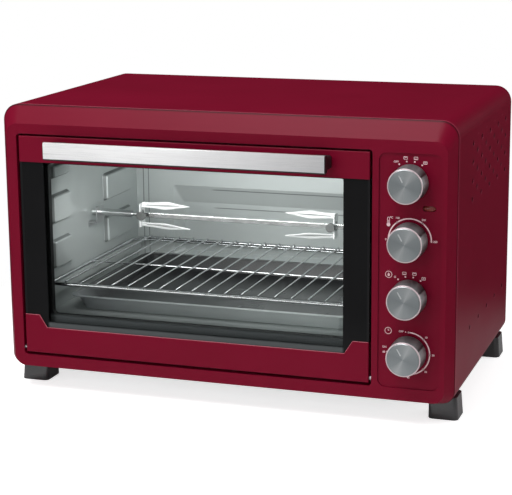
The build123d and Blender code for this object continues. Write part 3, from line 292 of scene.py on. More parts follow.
def seam_shade_marks(wire, place):
    """Painted shade in the seam between the pressed front and the casing."""
    seam_shade = band_mask(wire, axis_of(wire, place, "Y"), seam - 0.0022, seam + 0.0002, seam_blur) * 0.8
    return [(seam_shade, ink(48, 3, 12))]


# The front pieces' paint, with painted shade in the seam.
paint = stoved_red("red stoved paint", seam_shade_marks)
coat(paint, "front_panel", "control_panel", "door_top_rail", "door_bottom_rail")


# The casing has the same paint, with painted shade in the pressed lip round each vent
# hole and a painted highlight on the lip's lower edge.
vent_first = (-0.062, 0.2459)
vent_pitch = (0.05175, 0.0217)
vent_low = (-0.062, 0.0945)
lip_half = (0.0042, 0.0040)
lip_highlight_shift = (0.0026, -0.0016)
vent_columns, vent_rows = 5, 4
column_margin, row_margin = 0.012, 0.008
vent_blur = 0.0005


def lozenges(wire, across, upward, first, pitch, size):
    """1 inside each lozenge of a pattern that repeats both ways: the distances to the nearest middle,
    each over its half size, add up to less than 1."""
    total = 0.0
    for value, start, step, half in zip((across, upward), first, pitch, size):
        turns = wire.reckon("FRACT", (value - start) / step + 0.5, 0.0) - 0.5
        total = wire.reckon("ABSOLUTE", turns, 0.0) * (step / half) + total
    return 1 - slope(wire, total, 0.8, 1.2)


def vent_shade_marks(wire, place):
    """Painted light on the lips round both groups of vents: the painted highlights on their lower edges first,
    then the painted shade in the lips over them.
    """
    across, inward, upward = (axis_of(wire, place, axis) for axis in "XYZ")
    right_side = band_mask(wire, across, casing_high[0] - 0.0005, casing_high[0] + 0.001, 0.0001)
    columns = band_mask(wire, inward, vent_first[0] - column_margin,
                        vent_first[0] + (vent_columns - 1) * vent_pitch[0] + column_margin, vent_blur)
    high_rows = band_mask(wire, upward, vent_first[1] - row_margin,
                          vent_first[1] + (vent_rows - 1) * vent_pitch[1] + row_margin, vent_blur)
    low_row = band_mask(wire, upward, vent_low[1] - row_margin, vent_low[1] + row_margin, vent_blur)

    def lips(shift):
        """The lips of both groups, moved by a distance back and up."""
        moved = [(corner[0] + shift[0], corner[1] + shift[1]) for corner in (vent_first, vent_low)]
        between = (moved[0][0] + vent_pitch[0] / 2, moved[0][1] + vent_pitch[1] / 2)
        high = wire.reckon("MAXIMUM", lozenges(wire, inward, upward, moved[0], vent_pitch, lip_half),
                           lozenges(wire, inward, upward, between, vent_pitch, lip_half))
        low = lozenges(wire, inward, upward, moved[1], (vent_pitch[0], 0.1), lip_half)
        return (high * high_rows + low * low_row) * columns * right_side

    # A painted highlight on each lip's lower edge, then painted shade in each lip.
    return [(lips(lip_highlight_shift) * 0.3, ink(190, 90, 112)), (lips((0.0, 0.0)) * 0.85, ink(34, 4, 10))]


coat(stoved_red("red casing paint", vent_shade_marks), "outer_casing")


# The bare sheet that isn't seen from the front: the base and the ribbed,
# slotted back, in zinc-coated steel with its faint crystal pattern.
zinc, w = new_material("zinc coated sheet")
place = coordinates(w)
spangle = w.add("ShaderNodeTexVoronoi", None, {"Vector": place, "Scale": 90.0}, "Color")
flake = w.add("ShaderNodeSeparateColor", None, {"Color": spangle}, "Red")
rolled = noise(w, w.add("ShaderNodeMapping", None, {"Vector": place, "Scale": (12.0, 12.0, 400.0)}), 4.0)
surface(w, {"Base Color": blended(w, flake, (0.47, 0.48, 0.49, 1), (0.51, 0.52, 0.53, 1)), "Metallic": 0.85,
            "Roughness": 0.38 + flake * 0.06 + rolled * 0.1, "Normal": bumped(w, rolled, 0.00003)})
coat(zinc, "base_plate", "back_panel")

turned_steel, w = new_material("turned steel")
place = coordinates(w)
tool_marks = noise(w, w.add("ShaderNodeMapping", None, {"Vector": place, "Scale": (1.0, 1.0, 9.0)}), 700.0)
surface(w, {"Base Color": blended(w, tool_marks, (0.5, 0.5, 0.51, 1), (0.64, 0.64, 0.65, 1)), "Metallic": 1.0,
            "Roughness": 0.26 + tool_marks * 0.2, "Normal": bumped(w, tool_marks, 0.00003)})
coat(turned_steel, "body_screws", "hinge_pins", "door_arms", "handle_screws", "hinge_bushes",
     "heat_dial_spindle", "thermostat_dial_spindle", "function_dial_spindle", "timer_dial_spindle")


# The feet: four hollow blocks in black plastic, moulded with a fine spark
# texture and screwed up into the base from below.
def moulded(name, light, dark, rough, shine=0.5):
    """Moulded plastic: a fine spark-eroded grain over a faint clouding."""
    material, wire = new_material(name)
    place = coordinates(wire)
    grain = noise(wire, place, 1500.0, 3.0)
    clouds = noise(wire, place, 40.0)
    surface(wire, {"Base Color": blended(wire, clouds, dark, light), "Roughness": rough + grain * 0.15,
                   "Specular IOR Level": shine, "Normal": bumped(wire, grain, 0.00005)})
    return material


foot_plastic = moulded("foot plastic", ink(44, 43, 45), ink(30, 29, 31), 0.1, 1.0)
coat(foot_plastic, "front_feet", "rear_feet")

inner_plastic = moulded("heat proof plastic", ink(58, 57, 56), ink(40, 39, 38), 0.45)
coat(inner_plastic, "lamp_holder", "rotary_switches", "thermostat", "timer", "spit_motor", "terminal_block",
     "cord_gland")

# The pilot light: an oval lens in amber plastic, pushed into the control
# panel in front of its lamp.
amber, w = new_material("amber lens")
place = coordinates(w)
ribs = w.add("ShaderNodeTexWave", {"bands_direction": "X"}, {"Vector": place, "Scale": 160.0}, "Fac")
surface(w, {"Base Color": blended(w, ribs, ink(126, 50, 38), ink(104, 32, 30)), "Roughness": 0.2,
            "Coat Weight": 0.5, "Normal": bumped(w, ribs, 0.0001)})
lens_low, lens_high = span("pilot_lens")


def dome(low, high, tip, rings=10, steps=64):
    """A pointed oval cap: x = half width cos a |cos t|^tip with the sign of cos t, z = half height cos a sin t,
    and y goes from the seat to the front by sin a. The back is closed by a point on the seat."""
    a = np.linspace(0, np.pi / 2, rings, endpoint=False)[:, None]
    t = np.linspace(0, 2 * np.pi, steps, endpoint=False)
    half_x, half_z = (high[0] - low[0]) / 2, (high[2] - low[2]) / 2
    x = (low[0] + high[0]) / 2 + half_x * np.cos(a) * np.sign(np.cos(t)) * np.abs(np.cos(t)) ** tip
    z = (low[2] + high[2]) / 2 + half_z * np.cos(a) * np.sin(t)
    y = np.broadcast_to(high[1] + (low[1] - high[1]) * np.sin(a), x.shape)
    points = np.stack([x, y, z], 2).reshape(-1, 3)
    middle = (low + high) / 2
    ends = [(middle[0], high[1], middle[2]), (middle[0], low[1], middle[2])]
    faces = [(i * steps + k, i * steps + (k + 1) % steps,
              (i + 1) * steps + (k + 1) % steps, (i + 1) * steps + k)
             for i in range(rings - 1) for k in range(steps)]
    back, front = rings * steps, rings * steps + 1
    faces += [(back, (k + 1) % steps, k) for k in range(steps)]
    faces += [(front, (rings - 1) * steps + k, (rings - 1) * steps + (k + 1) % steps) for k in range(steps)]
    return np.concatenate([points, ends]), faces


lens_tip = 1.25
oval_lens = mesh_piece("oval_lens", *dome(lens_low, lens_high, lens_tip))
oval_lens.data.materials.append(amber)
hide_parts("pilot_lens")
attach(oval_lens, "oven")


# The dials: dark chromed mouldings with a spun aluminium disc let into the
# face, each pushed onto the spindle of its switch.
def tipped_normal(wire, way, amount):
    """The face's own normal, tipped along a direction in the piece's coordinates by an amount."""
    tipped = wire.add("ShaderNodeVectorMath", {"operation": "SCALE"}, {0: way, "Scale": amount})
    world_tip = wire.add("ShaderNodeVectorTransform", {"vector_type": "VECTOR", "convert_from": "OBJECT",
                                                       "convert_to": "WORLD"}, {"Vector": tipped})
    flat = wire.add("ShaderNodeNewGeometry", None, None, "Normal")
    total = wire.add("ShaderNodeVectorMath", {"operation": "ADD"}, {0: flat, 1: world_tip})
    return wire.add("ShaderNodeVectorMath", {"operation": "NORMALIZE"}, {0: total})


def radial_normal(wire, place, centre, pitch, spread):
    """The normal of a face with fine rings turned in it: tipped outwards or inwards by an amount that
    changes from ring to ring."""
    arm = wire.add("ShaderNodeVectorMath", {"operation": "SUBTRACT"}, {0: place, 1: centre})
    flat_arm = wire.add("ShaderNodeVectorMath", {"operation": "MULTIPLY"}, {0: arm, 1: (1.0, 0.0, 1.0)})
    reach = wire.add("ShaderNodeVectorMath", {"operation": "LENGTH"}, {0: flat_arm}, "Value")
    outward = wire.add("ShaderNodeVectorMath", {"operation": "NORMALIZE"}, {0: flat_arm})
    ring = wire.add("ShaderNodeTexNoise", {"noise_dimensions": "1D"},
                    {"W": reach / pitch, "Scale": 1.0, "Detail": 2.0})
    return tipped_normal(wire, outward, (ring - 0.5) * spread), ring


def clock_angle(wire, place, centre):
    """The angle round a dial's axis, 0 to 1 clockwise from straight down."""
    arm = wire.add("ShaderNodeVectorMath", {"operation": "SUBTRACT"}, {0: place, 1: centre})
    across = axis_of(wire, arm, "X")
    upward = axis_of(wire, arm, "Z")
    return wire.reckon("ARCTAN2", across, upward) / (2 * math.pi) + 0.5


dial_low, dial_high = span("heat_dial")
cap_low, cap_high = span("heat_dial_cap")
dial_x = (dial_low[0] + dial_high[0]) / 2
dial_front = cap_low[1]
rim_depth = 0.0016
engraving = 0.0004
dial_heights = {name: sum(span(name + "_dial"))[2] / 2 for name in ("heat", "thermostat", "function", "timer")}
# Painted reflections round each dial's side: dark and bright bands set by the angle round its axis.
side_reflection_stops = [(0.0, (0.03, 0.03, 0.032, 1)), (0.36, (0.08, 0.085, 0.09, 1)), (0.46, (0.20, 0.21, 0.215, 1)),
              (0.54, (0.14, 0.15, 0.155, 1)), (0.6, (0.22, 0.235, 0.24, 1)), (0.645, (0.10, 0.105, 0.11, 1)),
              (0.66, (0.012, 0.012, 0.013, 1)), (0.675, (0.30, 0.315, 0.32, 1)), (0.73, (0.36, 0.38, 0.385, 1)),
              (0.775, (0.12, 0.125, 0.13, 1)), (0.85, (0.04, 0.04, 0.042, 1)), (1.0, (0.03, 0.03, 0.032, 1))]
# Painted highlights on the spun disc: bright wedges set by the angle round its axis, with dimmer bands between.
face_highlight_levels = [(0.0, 0.45), (0.07, 0.95), (0.16, 0.30), (0.30, 0.12), (0.42, 0.35), (0.5, 0.5),
              (0.57, 1.0), (0.66, 0.32), (0.80, 0.12), (0.92, 0.30), (1.0, 0.45)]
ring_pitch = 0.00012
ring_tilt = 1.2
cap_reach = (cap_high[0] - cap_low[0]) / 2
dial_reach = (dial_high[0] - dial_low[0]) / 2
dial_back = dial_high[1]
bore_reach = 0.00315
bore_clearance = 0.0004
bore_floor = span("heat_dial_spindle")[0][1] - bore_clearance
cap_seat = cap_high[1]


def turned(profile, centre, ease=0.00015, steps=96):
    """A solid turned round a dial's axis: x = cx + r sin t, z = cz + r cos t, y = depth, for each (r, depth) of
    the profile, whose first and last points are poles. Each corner between is eased by two points."""
    profile = np.asarray(profile, float)
    before = profile[1:-1] - profile[:-2]
    after = profile[2:] - profile[1:-1]
    before /= np.linalg.norm(before, axis=1)[:, None]
    after /= np.linalg.norm(after, axis=1)[:, None]
    rounded = np.stack([profile[1:-1] - before * ease, profile[1:-1] + after * ease], 1).reshape(-1, 2)
    reach, depth = rounded[:, :1], rounded[:, 1:]
    t = np.linspace(0, 2 * np.pi, steps, endpoint=False)
    rings = np.stack([centre[0] + reach * np.sin(t), depth + 0 * t, centre[2] + reach * np.cos(t)], 2)
    poles = [(centre[0], profile[0, 1], centre[2]), (centre[0], profile[-1, 1], centre[2])]
    count = len(rounded)
    faces = [(i * steps + k, (i + 1) * steps + k,
              (i + 1) * steps + (k + 1) % steps, i * steps + (k + 1) % steps)
             for i in range(count - 1) for k in range(steps)]
    start, end = count * steps, count * steps + 1
    faces += [(start, k, (k + 1) % steps) for k in range(steps)]
    faces += [(end, (count - 1) * steps + (k + 1) % steps, (count - 1) * steps + k) for k in range(steps)]
    return np.concatenate([rings.reshape(-1, 3), poles]), faces


grip_profile = [(0, bore_floor), (bore_reach, bore_floor), (bore_reach, dial_back),
                (dial_reach - 0.0004, dial_back), (dial_reach, dial_back - 0.0005),
                (dial_reach - 0.0006, dial_front + 0.0022),
                (dial_reach - 0.0010, dial_front + 0.0010), (cap_reach + 0.0006, dial_front + 0.0006),
                (cap_reach + 0.00005, dial_front + 0.0008), (cap_reach + 0.00005, cap_seat), (0, cap_seat)]
for dial, height in dial_heights.items():
    centre = (dial_x, 0.0, height)
    dark_chrome, w = new_material(dial + " dark chrome")
    place = coordinates(w)
    smears = noise(w, place, 60.0)
    depth = axis_of(w, place, "Y")
    painted_light_tone = w.add("ShaderNodeValToRGB", {"stops": side_reflection_stops}, {"Fac": clock_angle(w, place, centre)})
    # A painted highlight: a pale pink ring on the chamfered rim, where it reflects the red panel.
    rim_highlight = band_mask(w, depth, dial_front - rim_depth, dial_front + rim_depth, 0.0001)
    surface(w, {"Base Color": blended(w, rim_highlight, painted_light_tone, (0.74, 0.60, 0.63, 1)), "Metallic": 0.3,
                "Roughness": 0.34 + smears * 0.1, "Normal": bumped(w, smears, 0.00001)})
    grip = mesh_piece(dial + "_dial_grip", *turned(grip_profile, centre))
    grip.data.materials.append(dark_chrome)
    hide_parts(dial + "_dial")
    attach(grip, dial + "_knob")
    spun, w = new_material(dial + " spun aluminium")
    place = coordinates(w)
    depth = axis_of(w, place, "Y")
    normal, ring = radial_normal(w, place, centre, ring_pitch, ring_tilt)
    stops = [(where, (level, level, level, 1)) for where, level in face_highlight_levels]
    # The disc's painted highlights, set by the angle round the axis.
    face_highlight = w.add("ShaderNodeValToRGB", {"stops": stops}, {"Fac": clock_angle(w, place, centre)})
    face = blended(w, face_highlight, (0.26, 0.29, 0.30, 1), (0.55, 0.57, 0.58, 1))
    grooved = blended(w, ring * 0.5, face, (0.16, 0.18, 0.19, 1))
    mark = band_mask(w, depth, dial_front + engraving * 0.8, dial_front + engraving * 2, 0.00003)
    surface(w, {"Base Color": blended(w, mark, grooved, (0.62, 0.64, 0.65, 1)), "Metallic": 0.7,
                "Roughness": 0.3 + ring * 0.12, "Normal": normal})
    coat(spun, dial + "_dial_cap")


# The printing round the dials: pale ink laid on the paint through a screen,
# in plain numbers, ON and OFF, arcs, dots and small pictures.
ink_height = 0.00005
panel_face = span("control_panel")[0][1]


def hazed(name, first, second, scale, metallic, rough, rougher, depth, detail=2.0):
    """A finish with one haze in it, a noise of this scale: where it goes from 0 to 1 the colour goes from first
    to second, the roughness rises by rougher, and the face by a depth in metres."""
    material, wire = new_material(name)
    haze = noise(wire, coordinates(wire), scale, detail)
    surface(wire, {"Base Color": blended(wire, haze, first, second), "Metallic": metallic,
                   "Roughness": rough + haze * rougher, "Normal": bumped(wire, haze, depth)})
    return material


print_ink = hazed("pale print", ink(238, 196, 204), ink(250, 222, 226), 2200.0, 0.0, 0.5, 0.2, 0.00001)


def letters(words, height):
    """The outline of words as flat points and faces, with its middle at zero."""
    text = bpy.data.curves.new("words", "FONT")
    text.body = words
    text.size = height / 0.7
    text.align_x = "CENTER"
    text.align_y = "CENTER"
    text.resolution_u = 3
    text.offset = 0.00006
    shown = bpy.data.objects.new("words", text)
    mesh = bpy.data.meshes.new_from_object(shown)
    points = np.zeros(len(mesh.vertices) * 3)
    mesh.vertices.foreach_get("co", points)
    faces = [tuple(face.vertices) for face in mesh.polygons]
    bpy.data.objects.remove(shown)
    bpy.data.meshes.remove(mesh)
    return points.reshape(-1, 3)[:, :2], faces


def band(radius, width, start, end, steps=64):
    """A flat arc: two rows of points at radius minus and plus half the width, from one clock angle in
    degrees to another."""
    angle = np.radians(np.linspace(end, start, steps))
    unit = np.stack([np.sin(angle), np.cos(angle)], 1)
    points = np.concatenate([unit * (radius - width / 2), unit * (radius + width / 2)])
    k = np.arange(steps - 1)
    return points, np.stack([k, k + steps, k + steps + 1, k + 1], 1)[:, ::-1].tolist()


def dot(radius, steps=20):
    """A flat disc: points at radius (cos t, sin t)."""
    angle = np.linspace(0, 2 * np.pi, steps, endpoint=False)
    return np.stack([np.cos(angle), np.sin(angle)], 1) * radius, [tuple(range(steps))]


def strokes(lines, width):
    """Straight strokes, each a thin rectangle from one point to another."""
    ends = np.array(lines, float).reshape(-1, 2, 2)
    along = ends[:, 1] - ends[:, 0]
    along /= np.linalg.norm(along, axis=1)[:, None]
    side = np.stack([-along[:, 1], along[:, 0]], 1) * width / 2
    corners = np.stack([ends[:, 0] - side, ends[:, 1] - side, ends[:, 1] + side, ends[:, 0] + side], 1)
    return corners.reshape(-1, 2), np.arange(len(ends) * 4).reshape(-1, 4).tolist()


def at_clock(radius, angle):
    """The place at a radius and a clock angle in degrees."""
    return np.array([math.sin(math.radians(angle)), math.cos(math.radians(angle))]) * radius


def printed(name, shapes, height):
    """One print from its shapes, each (points, faces, where), on the panel round the dial at that height."""
    points, faces, count = [], [], 0
    for flat, shape_faces, where in shapes:
        flat = flat + np.asarray(where) + (dial_x, height)
        points.append(np.stack([flat[:, 0], np.full(len(flat), panel_face - ink_height), flat[:, 1]], 1))
        faces += [[int(k) + count for k in face] for face in shape_faces]
        count += len(flat)
    piece = mesh_piece(name, np.concatenate(points), faces, smooth=False)
    piece.data.materials.append(print_ink)
    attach(piece, "oven")
    return piece


mark_radius = 0.0235
arc_radius = 0.0243
arc_width = 0.0014
word_radius = 0.0282
icon_radius = 0.0276
letter_height = 0.0022
fine = 0.00055
pip = 0.0011
sign_place = (-0.0235, 0.0247)
sign_ring = 0.0037
bulb_top = (-0.0243, 0.0238)
four_angles = (-33, -11, 11, 33)
four_dots = [(*dot(0.00095), at_clock(mark_radius, a)) for a in four_angles]
oven_box = [((-2, -1.4), (2, -1.4)), ((2, -1.4), (2, 1.4)), ((2, 1.4), (-2, 1.4)), ((-2, 1.4), (-2, -1.4))]
top_bar = [((-1.2, 0.7), (1.2, 0.7))]
low_bar = [((-1.2, -0.7), (1.2, -0.7))]
spit_cross = [((-1.2, 0), (1.2, 0)), ((0, -0.7), (0, 0.7))]


def picture(lines):
    """Fine strokes from lines drawn in millimetres."""
    return strokes(np.array(lines) / 1000, fine)


printed("heat_print", four_dots + [
    (*letters("OFF", letter_height), at_clock(icon_radius, -36)),
    (*picture(oven_box + top_bar), at_clock(icon_radius, -12)),
    (*picture(oven_box + low_bar), at_clock(icon_radius, 12)),
    (*picture(oven_box + top_bar + low_bar), at_clock(icon_radius, 36))], dial_heights["heat"])

bulb = [(*dot(0.0021), (-0.0243, 0.0165)), (*band(pip, fine, -90, 90, 12), bulb_top),
        (*picture([((-1.1, 0), (-1.1, -6)), ((1.1, 0), (1.1, -6)), ((0, -2), (0, -7))]), bulb_top),
        (*band(0.0006, 0.0004, 0, 360, 16), (-0.0219, 0.0252)),
        (*letters("C", letter_height), (-0.0203, 0.0245))]
printed("thermostat_print", bulb + [
    (*band(arc_radius, arc_width, -90, 90), (0, 0)),
    (*dot(pip), at_clock(arc_radius, -90)), (*dot(pip), at_clock(arc_radius, -36)),
    (*dot(pip), at_clock(arc_radius, 36)), (*dot(pip), at_clock(arc_radius, 90)),
    (*letters("0", letter_height), at_clock(word_radius - 0.001, -91)),
    (*letters("100", letter_height), at_clock(word_radius, -30)),
    (*letters("200", letter_height), at_clock(word_radius, 33)),
    (*letters("250", letter_height), at_clock(word_radius + 0.0005, 90))], dial_heights["thermostat"])

drop = [((-1.2, -0.6), (0, 1.9)), ((0, 1.9), (1.2, -0.6)), ((0, -1.4), (0, 0.6))]
printed("function_print", four_dots + [
    (*band(sign_ring, fine, 0, 360), sign_place), (*picture(drop), sign_place),
    (*dot(0.0013), (-0.0235, 0.0240)),
    (*picture(low_bar + top_bar), at_clock(icon_radius, -36)),
    (*picture(oven_box + low_bar), at_clock(icon_radius, -12)),
    (*picture(oven_box + top_bar), at_clock(icon_radius, 12)),
    (*picture(oven_box + spit_cross), at_clock(icon_radius, 36))], dial_heights["function"])

clock = [(*band(sign_ring, fine, 0, 360), sign_place),
         (*picture([((0, 0), (0, 2.2)), ((0, 0), (1.5, 0.8))]), sign_place)]
timer_marks = [(*dot(pip), at_clock(arc_radius, a)) for a in (0, 45, 90, 135, 180, 225, 270)]
timer_words = [(*letters(word, letter_height), at_clock(word_radius, angle)) for word, angle in
               (("10", 45), ("20", 90), ("30", 135), ("40", 180), ("50", 225), ("60", 269), ("ON", 281))]
printed("timer_print", clock + timer_marks + timer_words + [
    (*band(arc_radius, arc_width, 0, 270, 128), (0, 0)),
    (*letters("OFF", letter_height), at_clock(0.0262, -19)), (*dot(0.0007), at_clock(0.0248, -8))],
    dial_heights["timer"])


# The door: two pressed and painted rails, a pane of clear toughened glass
# and a black enamelled frame and liner behind it.
grey_height = 0.094
grey_blur = 0.004


def enamelled(name, greying=None):
    """Black enamel that flowed a little unevenly as it was fired, and is grey where greying(wire, place) is 1.
    """
    material, wire = new_material(name)
    place = coordinates(wire)
    flow = noise(wire, place, 300.0)
    enamel = blended(wire, flow, ink(17, 17, 18), ink(24, 23, 25))
    if greying:
        enamel = blended(wire, greying(wire, place), enamel, ink(104, 109, 111))
    surface(wire, {"Base Color": enamel, "Roughness": 0.3 + flow * 0.15,
                   "Specular IOR Level": 0.2, "Normal": bumped(wire, flow, 0.00003)})
    return material


def lower_bar_grey(wire, place):
    """Grey on the frame's lower bar: 1 up to a height, and 0 above it."""
    return slope(wire, axis_of(wire, place, "Z"), grey_height - grey_blur, grey_height, 1.0, 0.0)


black_enamel = enamelled("black enamel")
coat(black_enamel, "door_liner")
# The inner frame is grey on its lower bar, up to a height.
coat(enamelled("greyed enamel", lower_bar_grey), "door_inner_frame")

pane, w = new_material("toughened glass")
place = coordinates(w)
film = noise(w, place, 14.0)
clear = w.add("ShaderNodeBsdfTransparent", None, {"Color": (0.985, 0.995, 0.99, 1)})
shine = w.add("ShaderNodeBsdfPrincipled", None, {
    "Base Color": (0, 0, 0, 1), "Roughness": 0.02 + film * 0.04, "Specular IOR Level": 1.0, "Metallic": 0.0,
    "Normal": bumped(w, film, 0.0001)})
edge_on = w.add("ShaderNodeFresnel", None, {"IOR": 1.45})
bare_glass = w.add("ShaderNodeMixShader", None, {0: edge_on * 0.9 + 0.01, 1: clear, 2: shine})
door_low, door_high = span("door_bottom_rail")[0], span("door_top_rail")[1]
print_side, print_low, print_high = 0.0306, 0.0387, 0.030
print_blur, greyed_blur = 0.0002, 0.0015
across = axis_of(w, place, "X")
upward = axis_of(w, place, "Z")
window_left, window_right = door_low[0] + print_side, door_high[0] - print_side
window_low, window_high = door_low[2] + print_low, door_high[2] - print_high
window = (band_mask(w, across, window_left, window_right, print_blur)
          * band_mask(w, upward, window_low, window_high, print_blur))
lowest = (band_mask(w, across, window_left, window_right, greyed_blur)
          * band_mask(w, upward, door_low[2], window_low, greyed_blur))
black_print = w.add("ShaderNodeBsdfPrincipled", None, {
    "Base Color": blended(w, lowest, blended(w, film, ink(17, 17, 18), ink(23, 23, 24)), ink(78, 82, 83)),
    "Roughness": 0.12 + film * 0.05, "Specular IOR Level": 0.15, "Normal": bumped(w, film, 0.00005)})
glass_mix = w.add("ShaderNodeMixShader", None, {0: window, 1: black_print, 2: bare_glass})
w.add("ShaderNodeOutputMaterial", None, {"Surface": glass_mix})
coat(pane, "door_glass")

# Black edge strips beside the pane, pushed over the glass between the rails,
# and the rolled hem along the lower rail's stepped edge.
def slab(outline, near, depth):
    """A flat plate across the oven: an outline in X and Z, given anticlockwise as the user sees it, at
    Y = near and again at Y = near + depth, with walls between."""
    outline = np.asarray(outline, float)
    count = len(outline)
    front = np.stack([outline[:, 0], np.full(count, near), outline[:, 1]], 1)
    faces = [tuple(range(count)), tuple(range(2 * count - 1, count - 1, -1))]
    faces += [(k, k + count, (k + 1) % count + count, (k + 1) % count) for k in range(count)]
    return np.concatenate([front, front + (0, depth, 0)]), faces


def joined(parts):
    """Several (points, faces) as one."""
    points, faces, count = [], [], 0
    for part_points, part_faces in parts:
        points.append(part_points)
        faces += [[int(k) + count for k in face] for face in part_faces]
        count += len(part_points)
    return np.concatenate(points), faces


door_face = door_low[1]
strip_width, strip_near, strip_depth = 0.0026, 0.0016, 0.0050
strip_tuck = 0.002
rail_top = span("door_bottom_rail")[1][2]
rail_under = span("door_top_rail")[0][2]
strips = []
for left in (door_low[0], door_high[0] - strip_width):
    low, high = rail_top - strip_tuck, rail_under + strip_tuck
    outline = [(left, low), (left + strip_width, low), (left + strip_width, high), (left, high)]
    strips.append(slab(outline, door_face + strip_near, strip_depth))
edge_strips = mesh_piece("door_edge_strips", *joined(strips), smooth=False)
edge_strips.data.materials.append(black_enamel)
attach(edge_strips, "door")


def tube(path, radius, sides=12):
    """A round bar along a path: at each point P with direction T, a ring P + radius (A cos t + B sin t),
    where A and B stand square to T. Both ends are closed by a point on the path."""
    path = np.asarray(path, float)
    heading = np.gradient(path, axis=0)
    heading /= np.linalg.norm(heading, axis=1)[:, None]
    aside = np.cross(heading, (0.0, 0.31, 0.95))
    aside /= np.linalg.norm(aside, axis=1)[:, None]
    above = np.cross(heading, aside)
    t = np.linspace(0, 2 * np.pi, sides, endpoint=False)[:, None, None]
    rings = (path + radius * (aside * np.cos(t) + above * np.sin(t))).transpose(1, 0, 2)
    count = len(path)
    faces = [(i * sides + k, i * sides + (k + 1) % sides, (i + 1) * sides + (k + 1) % sides,
              (i + 1) * sides + k) for i in range(count - 1) for k in range(sides)]
    start, end = count * sides, count * sides + 1
    faces += [(start, (k + 1) % sides, k) for k in range(sides)]
    faces += [(end, (count - 1) * sides + k, (count - 1) * sides + (k + 1) % sides) for k in range(sides)]
    return np.concatenate([rings.reshape(-1, 3), path[:1], path[-1:]]), faces


notch_depth, notch_shoulder, notch_run = 0.0152, 0.0187, 0.0097
hem_radius = 0.00045
hem_inset = 0.0006
hem_steps = 8
hem_x = [door_low[0] + hem_inset, door_low[0] + notch_shoulder, door_low[0] + notch_shoulder + notch_run]
hem_x += [door_high[0] + door_low[0] - x for x in reversed(hem_x)]
hem_z = [rail_top, rail_top, rail_top - notch_depth, rail_top - notch_depth, rail_top, rail_top]
hem_path = [(x, door_face + hem_radius, z) for x, z in zip(hem_x, hem_z)]
dense = []
for first, second in zip(hem_path, hem_path[1:]):
    steps = np.linspace(0, 1, hem_steps, endpoint=False)[:, None]
    dense.append(np.array(first) * (1 - steps) + np.array(second) * steps)
rail_hem = mesh_piece("rail_hem", *tube(np.concatenate(dense + [np.array(hem_path[-1:])]), hem_radius))
# A painted highlight: the hem is painted a paler pink along the rail's stepped edge.
hem_highlight_paint, w = new_material("hem paint with painted highlight")
place = coordinates(w)
hem_highlight_clouds = noise(w, place, 160.0, 3.0)
surface(w, {"Base Color": blended(w, hem_highlight_clouds, ink(176, 70, 88), ink(205, 118, 132)),
            "Roughness": 0.25 + hem_highlight_clouds * 0.15, "Specular IOR Level": 0.4, "Normal": bumped(w, hem_highlight_clouds, 0.00004)})
rail_hem.data.materials.append(hem_highlight_paint)
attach(rail_hem, "door")


# The handle: a black moulded bar on two screws, faced with a plate of
# stainless steel brushed along its length.
def brushed_normal(wire, place, grooves, way, spread):
    """The normal of a brushed face: tipped across the brushing by an amount that changes from groove to
    groove. The grooves are a scale for the object's coordinates, small along the brushing."""
    stretched = wire.add("ShaderNodeMapping", None, {"Vector": place, "Scale": grooves})
    scratch = noise(wire, stretched, 1.0, 3.0)
    return tipped_normal(wire, way, (scratch - 0.5) * spread), scratch


handle_black = moulded("handle plastic", ink(34, 33, 35), ink(24, 23, 25), 0.35)
coat(handle_black, "handle_bar")
plate_steel, w = new_material("brushed plate")
place = coordinates(w)
normal, scratch = brushed_normal(w, place, (18.0, 18.0, 6000.0), (0.0, 0.0, 1.0), 0.5)
along = axis_of(w, place, "X")
# A painted reflection: the plate is painted bright at its left, fading to a duller grey towards its right.
plate_reflection_fade = slope(w, along, -0.2, 0.13)
bright = blended(w, scratch, (0.94, 0.94, 0.94, 1), (1.0, 1.0, 1.0, 1))
shaded_plate_tone = blended(w, scratch, (0.74, 0.74, 0.75, 1), (0.82, 0.82, 0.83, 1))
surface(w, {"Base Color": blended(w, plate_reflection_fade, bright, shaded_plate_tone), "Metallic": 0.15,
            "Roughness": 0.22 + scratch * 0.14, "Normal": normal})
bar_low, bar_high = span("handle_bar")
face_y = span("handle_plate")[0][1]
plate_sheet, plate_turn, plate_return = 0.0005, 0.0009, 0.0040
plate_steps = 8
plate_over, plate_under = 0.0006, 0.0014
plate_left, plate_right = bar_low[0] + 0.0006, bar_high[0] - 0.0010


def folded(section, ends):
    """A sheet bent to a section in Y and Z, drawn straight across from one X to another."""
    section = np.asarray(section, float)
    count = len(section)
    points = np.concatenate([np.column_stack([np.full(count, x), section]) for x in ends])
    k = np.arange(count - 1)
    return points, np.stack([k, k + count, k + count + 1, k + 1], 1).tolist()


quarter = np.linspace(0, np.pi / 2, plate_steps)
over_z = bar_high[2] + plate_over
under_z = bar_low[2] + plate_under
lower_turn = np.stack([face_y + plate_turn - plate_turn * np.sin(quarter),
                       under_z + plate_turn - plate_turn * np.cos(quarter)], 1)
upper_turn = np.stack([face_y + plate_turn - plate_turn * np.cos(quarter),
                       over_z - plate_turn + plate_turn * np.sin(quarter)], 1)
plate_section = np.concatenate([lower_turn, upper_turn, [(face_y + plate_turn + plate_return, over_z)]])
handle_face = mesh_piece("handle_face", *folded(plate_section, (plate_left, plate_right)))
skin = handle_face.modifiers.new("sheet", "SOLIDIFY")
skin.thickness = plate_sheet
skin.offset = -1
handle_face.data.materials.append(plate_steel)
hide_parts("handle_plate")
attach(handle_face, "door")


